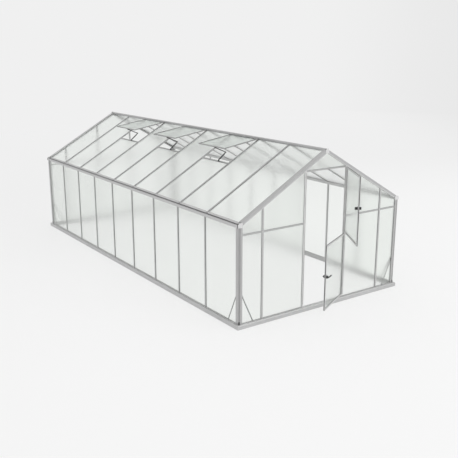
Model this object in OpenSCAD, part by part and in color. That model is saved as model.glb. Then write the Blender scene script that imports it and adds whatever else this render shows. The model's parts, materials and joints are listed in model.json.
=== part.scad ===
// Walk-in greenhouse: an aluminium frame glazed with frosted polycarbonate sheet.
// Ridge runs along Y, the door is in the front gable, +Z is up, millimetres.
// Origin: underside of the front base rail, below the middle of the front gable's outer face.

/* [Overall] */
// Outside width across the corner posts
gable_w = 3050; // [2600:10:4200]
// Number of bays along a side wall
bays = 9; // [5:2:13]
// Distance between two inner frames
bay_pitch = 740; // [620:5:860]
// Distance from a gable's outer face to the first inner frame
end_bay = 815; // [700:5:900]
// Height of the roof's outer plane at the outer face of a side wall
eave_h = 1449; // [1300:1:1800]
// Slope of the roof in degrees
roof_pitch = 29.6; // [24:0.1:33]

/* [Glazing bars] */
// Face width of a stud or rafter
bar_w = 30; // [26:1:34]
// Depth of a wall stud from its outer face
stud_depth = 16; // [16:1:36]
// Depth of a rafter below the roof's outer plane
rafter_depth = 18; // [18:1:50]
// Thickness of the outer cap strip of a bar
cap_t = 3; // [2:0.5:4]
// Thickness of the web between two sheets
web_t = 4; // [3:0.5:6]
// Thickness of the polycarbonate sheet
sheet_t = 6; // [4:1:8]
// Play behind a sheet in its groove
sheet_play = 0.5; // [0.3:0.1:0.8]
// Play between a sheet's edge and the bottom of its groove
edge_play = 0.3; // [0.2:0.1:1]

/* [Base] */
// Height of the base rail
base_h = 60; // [50:1:80]
// How far the base rail stands out beyond the walls
base_out = 32; // [20:1:60]
// How far the base rail reaches inside the walls' outer face
base_in = 36; // [34:1:50]
// Wall of the base rail's hollow section
base_wall = 3; // [2:0.5:5]
// Slope cut off the base rail's outer top edge, across and down
base_chamfer = [7, 10];
// Height of the sill profile on the base rail
sill_h = 8; // [6:1:40]
// Height at which the studs' cap strips end above the base rail
cap_foot = 4; // [2:1:10]

/* [Corner posts] */
// Face width of a corner post
post_w = 64; // [54:1:80]
// Groove along a post's outer corner: along the gable and along the side wall
post_rebate = [28, 10];
// Depth of the groove that takes a sheet in a post
post_groove = 8; // [6:1:12]

/* [Eaves] */
// Height of the gutter's underside below the eave height
gutter_drop = 31; // [26:1:45]
// Height of the gutter's outer wall
gutter_h = 42; // [30:1:48]
// How far the gutter stands out beyond the side wall
gutter_out = 12; // [5:1:30]
// Depth of the gutter inside the side wall's outer face
gutter_in = 46; // [42:1:60]
// Wall thickness of the gutter
gutter_wall = 3; // [2:0.5:4]
// Inward lip at the top of the gutter's outer wall
gutter_lip = 7; // [4:1:12]

/* [Ridge] */
// Half width of the ridge capping
ridge_half = 20; // [16:1:24]
// Height of the ridge capping above the roof planes' meeting line
ridge_up = 18; // [16:1:40]
// Wall of the ridge capping
ridge_wall = 3; // [2:0.5:4]
// Half width of the ridge beam's web
web_half = 8; // [6:1:8]
// Depth of the ridge beam below the roof planes' meeting line
ridge_depth = 26; // [22:1:90]
// Distance from a gable's outer face to the end of the ridge beam
ridge_gap = 16; // [13:1:24]

/* [Gables] */
// Height of a gable rafter's top above the roof's outer plane
gable_up = 12; // [6:1:20]
// Height of a gable rafter's front below the roof's outer plane
gable_down = 37; // [30:1:50]
// Width of a gable rafter's capping over the roof sheet
gable_cap_w = 60; // [50:1:80]
// Wall of the gable rafter's capping
gable_wall = 4; // [3:0.5:5]
// Size of the corner block inside a gable rafter
gable_block = 14; // [13:1:18]
// Depth of a gable rafter's body behind the sheet
gable_body = 12; // [8:1:30]
// Distance from the middle of a gable to its outer studs
stud_x = 1123; // [900:1:1300]
// Distance from the middle of a gable to the door jambs
jamb_x = 387; // [300:1:480]
// Depth of the middle of a gable's cross rails below the eave height
rail_drop = 135; // [60:1:400]
// Depth of the middle of the door header below the roof planes' meeting line
header_drop = 264; // [258:1:500]
// Face width of the cross rails and the header
rail_w = 24; // [20:1:30]

/* [End caps] */
// Thickness of the moulded end caps
endcap_t = 4; // [3:0.5:6]
// Size of the ridge end cap across and down
ridge_cap = [60, 70];
// Height of the eaves' end caps above the roof's outer plane
eave_cap_up = 36; // [30:1:45]
// Width of the eaves' end caps at the top and at the gutter's top, inside the gutter
eave_cap_in = [12, 24];

/* [Corner braces] */
// Reach of a corner brace up the post from the sill
brace_up = 430; // [250:10:500]
// Reach of a corner brace along the sill from the post
brace_along = 200; // [120:10:260]
// Width of a brace strip
brace_w = 16; // [8:1:18]
// Thickness of a brace strip
brace_t = 3; // [2:0.5:4]

/* [Roof vents] */
// Distance from the roof planes' meeting line to the vent's hinge, down the slope
vent_hinge = 30; // [28:1:40]
// Length of a vent down the slope
vent_len = 650; // [400:5:800]
// Angle to which the vents stand open
vent_open = 20.6; // [5:0.1:35]
// Thickness of a vent's frame
vent_t = 12; // [12:1:20]
// Face width of a vent's side bars and top bar
vent_bar = 18; // [18:1:30]
// Face width of a vent's bottom bar
vent_foot = 20; // [20:1:40]
// Depth of the groove that takes a vent's sheet
vent_groove = 7; // [5:1:10]
// Gap between a vent's side and the middle of the rafter
vent_side_gap = 4; // [3:1:8]
// Thickness of a vent's sheet
vent_sheet_t = 4; // [4:1:6]
// How far a closed vent laps over its sill bar
vent_lap = 5; // [3:1:15]
// Face width of the sill bar below a vent
vent_sill_w = 24; // [20:1:40]
// Place of the opener across the bay, as a share from the front rafter
opener_share = 0.36; // [0.2:0.01:0.8]
// Length of the opener's lower link
opener_link = 185; // [150:1:200]
// Angle of the opener's lower link above the roof plane
opener_tilt = 9; // [5:1:20]
// Width and thickness of the opener's links
opener_bar = [14, 5];
// Height of the plates that carry the opener's ends
opener_lug = 21; // [21:1:26]

/* [Door] */
// Lap of a closed leaf over each jamb
leaf_lap = 6; // [3:1:10]
// Lap of the upper leaf over the header
leaf_head_lap = 8; // [4:1:12]
// Gap between the sill and the lower leaf
leaf_foot_gap = 37; // [8:1:50]
// Height at which the door is split into two leaves
split_z = 1071; // [900:1:1250]
// Gap between the two leaves
split_gap = 16; // [8:1:24]
// Thickness of a leaf
leaf_t = 18; // [18:1:30]
// Face width of a leaf's frame
leaf_bar = 24; // [24:1:40]
// Depth of the groove that takes a leaf's sheet
leaf_groove = 5; // [3:0.5:5]
// Gap between a closed leaf and the jambs
leaf_gap = 8.2; // [8:0.1:12]
// Angle to which the lower leaf stands open
lower_open = 26.9; // [0:0.1:110]
// Angle to which the upper leaf stands open
upper_open = 58.4; // [0:0.1:110]

/* [Hinges] */
// Radius of a hinge knuckle
knuckle_r = 5; // [4:0.5:6]
// Height of one knuckle
knuckle_h = 34; // [20:1:50]
// Radius of the hinge pin
pin_r = 2.5; // [2:0.5:3]
// Running clearance of the pin in its bore
pin_play = 0.06; // [0.03:0.01:0.1]
// Gap between two knuckles
knuckle_gap = 0.5; // [0.3:0.1:1]
// Distance from the pin's axis to the leaf's edge and to the hinge post
hinge_reach = 6; // [6:0.5:8]
// Width of the hinge post
hinge_post_w = 8; // [8:1:20]
// Distance from a leaf's end to the middle of its hinge
hinge_inset = 130; // [80:5:200]

/* [Door furniture] */
// Distance from a leaf's free edge to the handle's axis
handle_inset = 39; // [38:0.5:48]
// Radius of a handle's rose
rose_r = 22; // [21:0.5:24]
// Thickness of a rose
rose_t = 3; // [2:0.5:4]
// How far the lock block in a leaf reaches beyond the rose
lock_edge = 3; // [2:0.5:6]
// Height of the lower leaf's handle above the middle of the leaf
lower_handle_up = 15; // [-100:5:100]
// Height of the upper leaf's handle above the middle of the leaf
upper_handle_up = 40; // [-100:5:100]
// Radius of a lever's hub and of a knob
hub_r = 20; // [16:0.5:20.5]
// Depth of a lever's hub
hub_t = 16; // [8:1:20]
// Depth of a knob
knob_t = 26; // [20:1:34]
// Length, width and height of the grip across a knob's face
knob_grip = [32, 9, 6];
// Radius of the neck between a lever's hub and the lever
neck_r = 7.5; // [6:0.5:9]
// Distance from a leaf's face to the lever
lever_off = 28; // [26:1:50]
// Length of a lever from the spindle's axis to its tip
lever_len = 105; // [80:5:130]
// Width and thickness of a lever
lever_bar = [15, 10];
// Gap between a hub or a knob and the rose
hub_gap = 1; // [0.5:0.5:2]
// Radius of the spindle
spindle_r = 4; // [3:0.5:5]
// Clearance round the spindle
spindle_play = 0.1; // [0.05:0.01:0.3]

/* [Hidden] */
$fn = 48;

ALU = "#b9bcbb";
ALU_DARK = "#a6a9a8";
SHEET = [0.89, 0.92, 0.90, 0.55];
WHITE = "#e4e5e4";
BLACK = "#1c1c1d";

half_w = gable_w / 2;
length_y = 2 * end_bay + (bays - 2) * bay_pitch;
rise = half_w * tan(roof_pitch);
ridge_h = eave_h + rise;
slope_len = half_w / cos(roof_pitch);
sill_top = base_h + sill_h;
rail_z = eave_h - rail_drop;
header_z = ridge_h - header_drop;
gutter_z = eave_h - gutter_drop;
body_in = cap_t + sheet_t + sheet_play;
sheet_in = cap_t + sheet_t;
past = 1;

// Middle of each inner frame along Y, from the front
frame_y = [for (i = [0 : bays - 2]) end_bay + i * bay_pitch];
// The bays that carry a vent on the left slope: every second inner bay
vent_bays = [for (b = [2 : 2 : bays - 3]) b];

leaf_w = 2 * (jamb_x - bar_w / 2 + leaf_lap);
hinge_x = leaf_w / 2 + hinge_reach;
hinge_y = -(leaf_gap + leaf_t);
lower_z = [sill_top + leaf_foot_gap, split_z - split_gap / 2];
upper_z = [split_z + split_gap / 2, header_z - rail_w / 2 + leaf_head_lap];
handle_x = -(hinge_reach + leaf_w - handle_inset);
lower_handle_z = (lower_z[0] + lower_z[1]) / 2 + lower_handle_up;
upper_handle_z = (upper_z[0] + upper_z[1]) / 2 + upper_handle_up;

// Roof geometry: distance down the slope from the planes' meeting line
vent_sill_s = vent_hinge + vent_len - vent_lap + vent_sill_w / 2;

// ---------- frames of reference ----------

// Stands children, drawn on the front gable (x along it, y inwards), on another wall
module on_rear() {
    translate([0, length_y, 0]) rotate([0, 0, 180]) children();
}
// For side walls the local x is the distance from the front gable's outer face
module on_left() {
    translate([-half_w, 0, 0]) rotate([0, 0, -90]) mirror([1, 0, 0]) children();
}
module on_right() {
    mirror([1, 0, 0]) on_left() children();
}
// Local x runs down the slope from the meeting line, y along the ridge, z out of the roof
module on_slope(side) {
    mirror([side < 0 ? 1 : 0, 0, 0])
        translate([0, 0, ridge_h]) rotate([0, roof_pitch, 0]) children();
}
// Extrudes a section drawn as (y, z) along +X
module along_x(len) {
    rotate([90, 0, 90]) linear_extrude(len) children();
}
// The space below a plane parallel to the roof, offset outwards by n
module under_roof(n) {
    top = ridge_h + n / cos(roof_pitch);
    reach = half_w + base_out;
    drop = reach * tan(roof_pitch);
    translate([0, length_y + base_out, 0]) rotate([90, 0, 0])
        linear_extrude(length_y + 2 * base_out)
            polygon([[-reach, -past], [reach, -past], [reach, top - drop], [0, top], [-reach, top - drop]]);
}

// ---------- sections ----------

// Glazing bar: outer cap at y = 0, web between the sheets, closed body behind
module bar_section(w, depth) {
    translate([-w / 2, 0]) square([w, cap_t]);
    translate([-web_t / 2, 0]) square([web_t, depth]);
    translate([-w / 2, body_in]) square([w, depth - body_in]);
}
// Upright glazing bar from z0 to z1 whose cap strip starts at foot
module upright(z0, z1, foot) {
    translate([0, 0, z0]) linear_extrude(z1 - z0) bar_section(bar_w, stud_depth);
    translate([-bar_w / 2, 0, foot]) cube([bar_w, cap_t, z0 - foot + past]);
}
// Level glazing bar from x0 to x1 with its middle at height z
module level_bar(x0, x1, z) {
    translate([x0, 0, z]) along_x(x1 - x0) rotate([0, 0, 90]) mirror([0, 1, 0])
        bar_section(rail_w, stud_depth);
}

// ---------- base ----------

module base_section() {
    c = base_chamfer;
    w = base_wall;
    difference() {
        polygon([[-base_out, 0], [-base_out, base_h - c[1]], [-base_out + c[0], base_h],
            [base_in, base_h], [base_in, 0]]);
        polygon([[-base_out + w, w], [-base_out + w, base_h - c[1] - w / 2],
            [-base_out + c[0] + w / 2, base_h - w], [base_in - w, base_h - w], [base_in - w, w]]);
    }
}
// One mitred rail, drawn as for the front gable, for a wall of the given length
module base_rail(wall_len) {
    long = wall_len / 2 + base_out;
    short = wall_len / 2 - base_in;
    color(ALU_DARK) intersection() {
        translate([-long, 0, 0]) along_x(2 * long) base_section();
        translate([0, 0, -past]) linear_extrude(base_h + 2 * past)
            polygon([[-long, -base_out], [long, -base_out], [short, base_in], [-short, base_in]]);
    }
}
module base_rail_front() {
    base_rail(gable_w);
}
module base_rail_rear() {
    on_rear() base_rail(gable_w);
}
module base_rail_left() {
    on_left() translate([length_y / 2, 0, 0]) base_rail(length_y);
}
module base_rail_right() {
    on_right() translate([length_y / 2, 0, 0]) base_rail(length_y);
}

// Sill profile from x0 to x1: its face lies in the plane of the sheets
module sill(x0, x1) {
    translate([x0, cap_t, base_h]) cube([x1 - x0, stud_depth - cap_t, sill_h]);
}
module sill_profiles() {
    color(ALU_DARK) {
        sill(-half_w + post_w, half_w - post_w);
        on_rear() sill(-half_w + post_w, half_w - post_w);
        on_left() sill(post_w, length_y - post_w);
        on_right() sill(post_w, length_y - post_w);
    }
}

// ---------- corner posts ----------

// Section of the front left post: a leg along each wall, a groove down the outer
// corner, and a slot in the end of each leg for the sheet
module post_section() {
    r = post_rebate;
    difference() {
        square([post_w, post_w]);
        translate([stud_depth, stud_depth]) square(post_w);
        translate([-past, -past]) square([r[0] + past, r[1] + past]);
        translate([post_w - post_groove, cap_t]) square([post_groove + past, sheet_t + sheet_play]);
        translate([cap_t, post_w - post_groove]) square([sheet_t + sheet_play, post_groove + past]);
    }
}
module corner_post(x_side, rear) {
    color(ALU) mirror([x_side > 0 ? 1 : 0, 0, 0])
        translate([-half_w, rear ? length_y : 0, base_h]) mirror([0, rear ? 1 : 0, 0])
            linear_extrude(gutter_z - base_h) post_section();
}
module corner_post_front_left() {
    corner_post(-1, false);
}
module corner_post_front_right() {
    corner_post(1, false);
}
module corner_post_rear_left() {
    corner_post(-1, true);
}
module corner_post_rear_right() {
    corner_post(1, true);
}

// ---------- side walls ----------

module wall_studs() {
    for (y = frame_y)
        translate([y, 0, 0]) upright(sill_top, gutter_z, base_h + cap_foot);
}
module wall_studs_left() {
    color(ALU) on_left() wall_studs();
}
module wall_studs_right() {
    color(ALU) on_right() wall_studs();
}
// Edges of the sheets along a side wall: the posts' grooves and the studs' webs
wall_edge = post_w - post_groove - web_t / 2;
wall_edges = concat([wall_edge], frame_y, [length_y - wall_edge]);
module wall_sheets() {
    inset = web_t / 2 + edge_play;
    for (i = [0 : bays - 1])
        translate([wall_edges[i] + inset, cap_t, sill_top])
            cube([wall_edges[i + 1] - wall_edges[i] - 2 * inset, sheet_t, gutter_z - sill_top]);
}
module wall_sheets_left() {
    color(SHEET) on_left() wall_sheets();
}
module wall_sheets_right() {
    color(SHEET) on_right() wall_sheets();
}

// ---------- eaves ----------

// Underside of the roof sheet at the gutter's inner wall
gutter_inner_top = eave_h + (gutter_in - gutter_wall) * tan(roof_pitch)
    - (cap_t + sheet_t) / cos(roof_pitch) - edge_play;

// Channel drawn as (inwards, up) from the wall's outer face and the gutter's underside
module gutter_section() {
    w = gutter_wall;
    translate([-gutter_out, 0]) square([gutter_out + gutter_in, w]);
    translate([-gutter_out, 0]) square([w, gutter_h]);
    translate([-gutter_out, gutter_h - w]) square([gutter_lip, w]);
    translate([gutter_in - w, 0]) square([w, gutter_inner_top - gutter_z]);
}
module eave_gutter() {
    color(ALU) translate([0, 0, gutter_z]) along_x(length_y) gutter_section();
}
module eave_gutter_left() {
    on_left() eave_gutter();
}
module eave_gutter_right() {
    on_right() eave_gutter();
}

// ---------- roof ----------

// Keeps what lies between the ridge beam's web and the gutter's inner wall on one slope
module between_web_and_gutter(side) {
    intersection() {
        on_slope(side) children();
        mirror([side < 0 ? 1 : 0, 0, 0]) translate([web_half, -past, 0])
            cube([half_w - gutter_in - web_half, length_y + 2 * past, ridge_h + gable_up + past]);
    }
}
module rafters(side) {
    color(ALU) between_web_and_gutter(side) for (y = frame_y)
        translate([0, y, 0]) along_x(slope_len) mirror([0, 1, 0]) bar_section(bar_w, rafter_depth);
}
module rafters_left() {
    rafters(-1);
}
module rafters_right() {
    rafters(1);
}

// Ridge beam section as (x, z) from the planes' meeting line: a web under a hollow
// capping, which is open below so that the sheets' ends lie in it
module ridge_section() {
    w = ridge_wall;
    h = ridge_half;
    k = web_half;
    c = h / 3;
    foot = -h * tan(roof_pitch);
    difference() {
        polygon([[-h, foot], [-h, ridge_up - c], [-h + c, ridge_up], [h - c, ridge_up],
            [h, ridge_up - c], [h, foot], [k, -k * tan(roof_pitch)], [k, -ridge_depth],
            [-k, -ridge_depth], [-k, -k * tan(roof_pitch)]]);
        for (m = [0, 1]) mirror([m, 0])
            polygon([[k, foot - past], [k, ridge_up - w], [h - c - w / 2, ridge_up - w],
                [h - w, ridge_up - c - w / 2], [h - w, foot - past]]);
    }
}
module ridge_beam() {
    color(ALU) translate([0, length_y - ridge_gap, ridge_h]) rotate([90, 0, 0])
        linear_extrude(length_y - 2 * ridge_gap) ridge_section();
}

// Upper end of a roof sheet, clear of the ridge beam's web
sheet_top_s = (web_half + edge_play + (cap_t + sheet_t) * sin(roof_pitch)) / cos(roof_pitch);
// Lower end of a roof sheet, over the gutter's inner wall
sheet_foot_s = (half_w - gutter_in + gutter_wall - edge_play) / cos(roof_pitch);
// Edges of the roof sheets: the gable rafters' corner blocks and the rafters' webs
roof_edges = concat([gable_block - web_t / 2], frame_y, [length_y - gable_block + web_t / 2]);

module roof_sheet(b, s0) {
    inset = web_t / 2 + edge_play;
    translate([s0, roof_edges[b] + inset, -sheet_in])
        cube([sheet_foot_s - s0, roof_edges[b + 1] - roof_edges[b] - 2 * inset, sheet_t]);
}
function has_vent(b) = len([for (v = vent_bays) if (v == b) v]) > 0;

module roof_sheets_left() {
    color(SHEET) on_slope(-1) for (b = [0 : bays - 1])
        roof_sheet(b, has_vent(b) ? vent_sill_s - vent_sill_w / 2 + web_t * 2 + edge_play : sheet_top_s);
}
module roof_sheets_right() {
    color(SHEET) on_slope(1) for (b = [0 : bays - 1]) roof_sheet(b, sheet_top_s);
}

// ---------- gables ----------

// Gable rafter section as (inwards, out of the roof)
module gable_rafter_section() {
    w = gable_wall;
    difference() {
        translate([0, -cap_t]) square([gable_cap_w, gable_up + cap_t]);
        translate([w, 0]) square([gable_cap_w - 2 * w, gable_up - w]);
    }
    translate([0, -gable_down]) square([cap_t, gable_down + past]);
    translate([0, -gable_block]) square([gable_block, gable_block]);
    translate([body_in, -gable_down]) square([gable_body, gable_down - body_in]);
}
module gable_rafters() {
    difference() {
        for (side = [-1, 1])
            between_web_and_gutter(side) along_x(slope_len) gable_rafter_section();
        translate([-ridge_half, -past, ridge_h - ridge_half])
            cube([2 * ridge_half, length_y, ridge_half + ridge_up + past]);
    }
}
module gable_rafters_front() {
    color(ALU) gable_rafters();
}
module gable_rafters_rear() {
    color(ALU) translate([0, length_y, 0]) mirror([0, 1, 0]) gable_rafters();
}

// Uprights of a gable at the given distances from its middle, cut to the rafters
module gable_uprights(xs) {
    intersection() {
        for (x = xs) translate([x, 0, 0]) upright(sill_top, ridge_h, base_h + cap_foot);
        under_roof(-gable_down);
    }
}
module gable_studs_front() {
    color(ALU) gable_uprights([-stud_x, stud_x]);
}
module gable_studs_rear() {
    color(ALU) on_rear() gable_uprights([-stud_x, -jamb_x, jamb_x, stud_x]);
}

// Cross rail between two uprights, or between a post and an upright
module gable_rail(x0, x1) {
    level_bar(x0, x1, rail_z);
}
module gable_side_rails() {
    for (m = [0, 1]) mirror([m, 0, 0]) {
        gable_rail(stud_x + bar_w / 2, half_w - post_w);
        gable_rail(jamb_x + bar_w / 2, stud_x - bar_w / 2);
    }
}
module gable_rails_front() {
    color(ALU) gable_side_rails();
}
module gable_rails_rear() {
    color(ALU) on_rear() {
        gable_side_rails();
        gable_rail(-jamb_x + bar_w / 2, jamb_x - bar_w / 2);
    }
}

// Sheet between x0 and x1 and from z0 to z1, cut to the rafters' groove
module gable_sheet(x0, x1, z0, z1) {
    intersection() {
        translate([x0, cap_t, z0]) cube([x1 - x0, sheet_t, z1 - z0]);
        under_roof(-gable_block - edge_play);
    }
}
// The sheets on one side of a gable, below and above the cross rail
module gable_side_sheets() {
    web = web_t / 2 + edge_play;
    post_edge = half_w - post_w + post_groove - edge_play;
    for (x = [[jamb_x + web, stud_x - web], [stud_x + web, post_edge]]) {
        gable_sheet(x[0], x[1], sill_top, rail_z - web);
        gable_sheet(x[0], x[1], rail_z + web, ridge_h);
    }
}
module gable_sheets_front() {
    web = web_t / 2 + edge_play;
    color(SHEET) {
        for (m = [0, 1]) mirror([m, 0, 0]) gable_side_sheets();
        gable_sheet(-jamb_x + web, jamb_x - web, header_z + web, ridge_h);
    }
}
module gable_sheets_rear() {
    web = web_t / 2 + edge_play;
    color(SHEET) on_rear() {
        for (m = [0, 1]) mirror([m, 0, 0]) gable_side_sheets();
        gable_sheet(-jamb_x + web, jamb_x - web, sill_top, rail_z - web);
        gable_sheet(-jamb_x + web, jamb_x - web, rail_z + web, ridge_h);
    }
}

// ---------- end caps ----------

// Plate over the end of a gutter, the top of a post and the foot of a gable rafter
module gutter_cap() {
    z0 = gutter_z;
    z1 = z0 + gutter_h;
    top = eave_h + eave_cap_up;
    rotate([90, 0, 0]) linear_extrude(endcap_t)
        polygon([[-gutter_out, z0], [-gutter_out, z1 + endcap_t], [gutter_in / 2, top],
            [gutter_in + eave_cap_in[0], top], [gutter_in + eave_cap_in[1], z1], [post_w, z0]]);
}
// Plate over the end of the ridge, with two plugs that stand in the beam's hollows
module ridge_cap_plate() {
    w = ridge_cap[0] / 2;
    top = ridge_h + ridge_up + endcap_t;
    plug = web_half + edge_play;
    rotate([90, 0, 0]) linear_extrude(endcap_t)
        polygon([[-w, top - ridge_cap[1]], [-w, top - w], [-ridge_half, top], [ridge_half, top],
            [w, top - w], [w, top - ridge_cap[1]]]);
    for (m = [0, 1]) mirror([m, 0, 0]) translate([plug, -past, ridge_h])
        cube([ridge_half - ridge_wall - edge_play - plug, past + 2 * ridge_gap, ridge_up / 2]);
}
module caps_at_one_gable() {
    for (m = [0, 1]) mirror([m, 0, 0]) translate([-half_w, 0, 0]) gutter_cap();
    ridge_cap_plate();
}
module end_caps() {
    color(WHITE) {
        caps_at_one_gable();
        translate([0, length_y, 0]) mirror([0, 1, 0]) caps_at_one_gable();
    }
}

// ---------- door frame ----------

module door_jambs() {
    color(ALU) gable_uprights([-jamb_x, jamb_x]);
}
module door_header() {
    color(ALU) intersection() {
        level_bar(-jamb_x + bar_w / 2, jamb_x - bar_w / 2, header_z);
        under_roof(-gable_down);
    }
}

// Bottoms of the four hinges
function hinge_bottoms() = [
    for (z = [lower_z, upper_z]) for (m = [z[0] + hinge_inset, z[1] - hinge_inset]) m - knuckle_h
];
// Knuckle on the hinge post with the pin standing in it
module fixed_knuckle() {
    cylinder(r = knuckle_r, h = knuckle_h);
    cylinder(r = pin_r, h = 2 * knuckle_h - 2 * pin_r);
    cube([hinge_reach, cap_t, knuckle_h]);
}
module hinge_post() {
    color(ALU) {
        translate([hinge_x + hinge_reach, hinge_y, lower_z[0]])
            cube([hinge_post_w, -hinge_y, upper_z[1] - lower_z[0]]);
        for (z = hinge_bottoms()) translate([hinge_x, hinge_y, z]) fixed_knuckle();
    }
}

// ---------- door leaves ----------

// Places a leaf, drawn closed with its hinge axis at the origin, at its open angle
module swung(angle) {
    translate([hinge_x, hinge_y, 0]) rotate([0, 0, angle]) children();
}
// Knuckle on a leaf, standing over the fixed one with a blind bore for its pin
module moving_knuckle() {
    difference() {
        union() {
            cylinder(r = knuckle_r, h = knuckle_h);
            translate([-hinge_reach - past, 0, 0]) cube([hinge_reach + past, cap_t, knuckle_h]);
        }
        translate([0, 0, -past]) cylinder(r = pin_r + pin_play, h = knuckle_h - pin_r + past);
    }
}
// The block that carries the handle's spindle, from the free edge's groove to beyond the rose
lock_reach = rose_r + lock_edge;
module lock_block(handle_z, play) {
    x0 = -hinge_reach - leaf_w + leaf_bar - leaf_groove;
    translate([x0 - play, 0, handle_z - lock_reach - play])
        cube([handle_x + lock_reach - x0 + 2 * play, leaf_t, 2 * (lock_reach + play)]);
}
module leaf_frame(z, handle_z) {
    w = leaf_w - 2 * leaf_bar;
    g = leaf_groove;
    x0 = -hinge_reach - leaf_w;
    difference() {
        union() {
            difference() {
                translate([x0, 0, z[0]]) cube([leaf_w, leaf_t, z[1] - z[0]]);
                translate([x0 + leaf_bar, -past, z[0] + leaf_bar])
                    cube([w, leaf_t + 2 * past, z[1] - z[0] - 2 * leaf_bar]);
                translate([x0 + leaf_bar - g, (leaf_t - sheet_t) / 2, z[0] + leaf_bar - g])
                    cube([w + 2 * g, sheet_t + edge_play, z[1] - z[0] - 2 * (leaf_bar - g)]);
            }
            lock_block(handle_z, 0);
        }
        translate([handle_x, leaf_t + past, handle_z]) rotate([90, 0, 0])
            cylinder(r = spindle_r + spindle_play, h = leaf_t + 2 * past);
    }
    for (m = [z[0] + hinge_inset, z[1] - hinge_inset])
        translate([0, 0, m + knuckle_gap]) moving_knuckle();
}
module leaf_sheet(z, handle_z) {
    inset = leaf_bar - leaf_groove + edge_play;
    difference() {
        translate([-hinge_reach - leaf_w + inset, (leaf_t - sheet_t) / 2, z[0] + inset])
            cube([leaf_w - 2 * inset, sheet_t, z[1] - z[0] - 2 * inset]);
        lock_block(handle_z, edge_play);
    }
}
module rose() {
    rotate([90, 0, 0]) difference() {
        cylinder(r = rose_r, h = rose_t);
        translate([0, 0, -past]) cylinder(r = spindle_r + spindle_play, h = rose_t + 2 * past);
    }
}
module leaf_roses(handle_z) {
    translate([handle_x, 0, handle_z]) {
        rose();
        translate([0, leaf_t + rose_t, 0]) rose();
    }
}
// Lever on one face, pointing at the hinge: hub, neck and lever
module lever() {
    z0 = rose_t + hub_gap;
    rotate([90, 0, 0]) translate([0, 0, z0]) {
        cylinder(r = hub_r, h = hub_t);
        cylinder(r = neck_r, h = lever_off + lever_bar[1] - z0);
    }
    translate([0, -lever_off - lever_bar[1], -lever_bar[0] / 2])
        cube([lever_len, lever_bar[1], lever_bar[0]]);
}
// Round knob on one face with an upright grip across it
module knob() {
    z0 = rose_t + hub_gap;
    g = knob_grip;
    rotate([90, 0, 0]) translate([0, 0, z0]) {
        cylinder(r = hub_r, h = knob_t);
        translate([-g[1] / 2, -g[0] / 2, knob_t - past]) cube([g[1], g[0], g[2] + past]);
    }
}
// Stands children, drawn for the outer face, on both faces of a leaf, on one spindle
module leaf_handle(handle_z) {
    rod = leaf_t + 2 * (rose_t + hub_gap + past);
    translate([handle_x, 0, handle_z]) {
        children();
        translate([0, leaf_t, 0]) mirror([0, 1, 0]) children();
        translate([0, (leaf_t + rod) / 2, 0]) rotate([90, 0, 0]) cylinder(r = spindle_r, h = rod);
    }
}
module lower_leaf_frame() {
    color(ALU) swung(lower_open) leaf_frame(lower_z, lower_handle_z);
}
module lower_leaf_sheet() {
    color(SHEET) swung(lower_open) leaf_sheet(lower_z, lower_handle_z);
}
module lower_leaf_roses() {
    color(BLACK) swung(lower_open) leaf_roses(lower_handle_z);
}
module lower_leaf_handle() {
    color(BLACK) swung(lower_open) leaf_handle(lower_handle_z) lever();
}
module upper_leaf_frame() {
    color(ALU) swung(upper_open) leaf_frame(upper_z, upper_handle_z);
}
module upper_leaf_sheet() {
    color(SHEET) swung(upper_open) leaf_sheet(upper_z, upper_handle_z);
}
module upper_leaf_roses() {
    color(BLACK) swung(upper_open) leaf_roses(upper_handle_z);
}
module upper_leaf_handle() {
    color(BLACK) swung(upper_open) leaf_handle(upper_handle_z) knob();
}

// ---------- braces ----------

// Strip from a post's leg down to the sill, cut flush against both
module brace() {
    l = norm([brace_up, brace_along]);
    a = atan2(brace_up, brace_along);
    intersection() {
        translate([post_w, body_in, sill_top]) cube([brace_along, brace_t, brace_up]);
        translate([post_w, body_in, sill_top + brace_up - brace_w]) rotate([0, a, 0])
            translate([-brace_w, 0, -brace_w]) cube([l + brace_w, brace_t, brace_w]);
    }
}
module braces_at_front_left() {
    translate([-half_w, 0, 0]) brace();
    on_left() brace();
}
module corner_braces() {
    color(ALU_DARK) for (mx = [0, 1]) for (rear = [0, 1]) mirror([mx, 0, 0])
        translate([0, rear * length_y, 0]) mirror([0, rear, 0]) braces_at_front_left();
}

// ---------- roof vents ----------

// Bar across a vent bay that carries the vent's foot and the short sheet's top
module vent_sill_bar(b) {
    w = vent_sill_w;
    neck = 2 * web_t;
    y0 = frame_y[b - 1] + bar_w / 2;
    translate([vent_sill_s - w / 2, y0, -rafter_depth + cap_t]) {
        cube([w, bay_pitch - bar_w, rafter_depth - cap_t - body_in]);
        cube([neck, bay_pitch - bar_w, rafter_depth - cap_t]);
        translate([0, 0, rafter_depth - 2 * cap_t]) cube([w, bay_pitch - bar_w, cap_t]);
    }
}
module vent_sill_bars() {
    color(ALU) on_slope(-1) for (b = vent_bays) vent_sill_bar(b);
}
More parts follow.
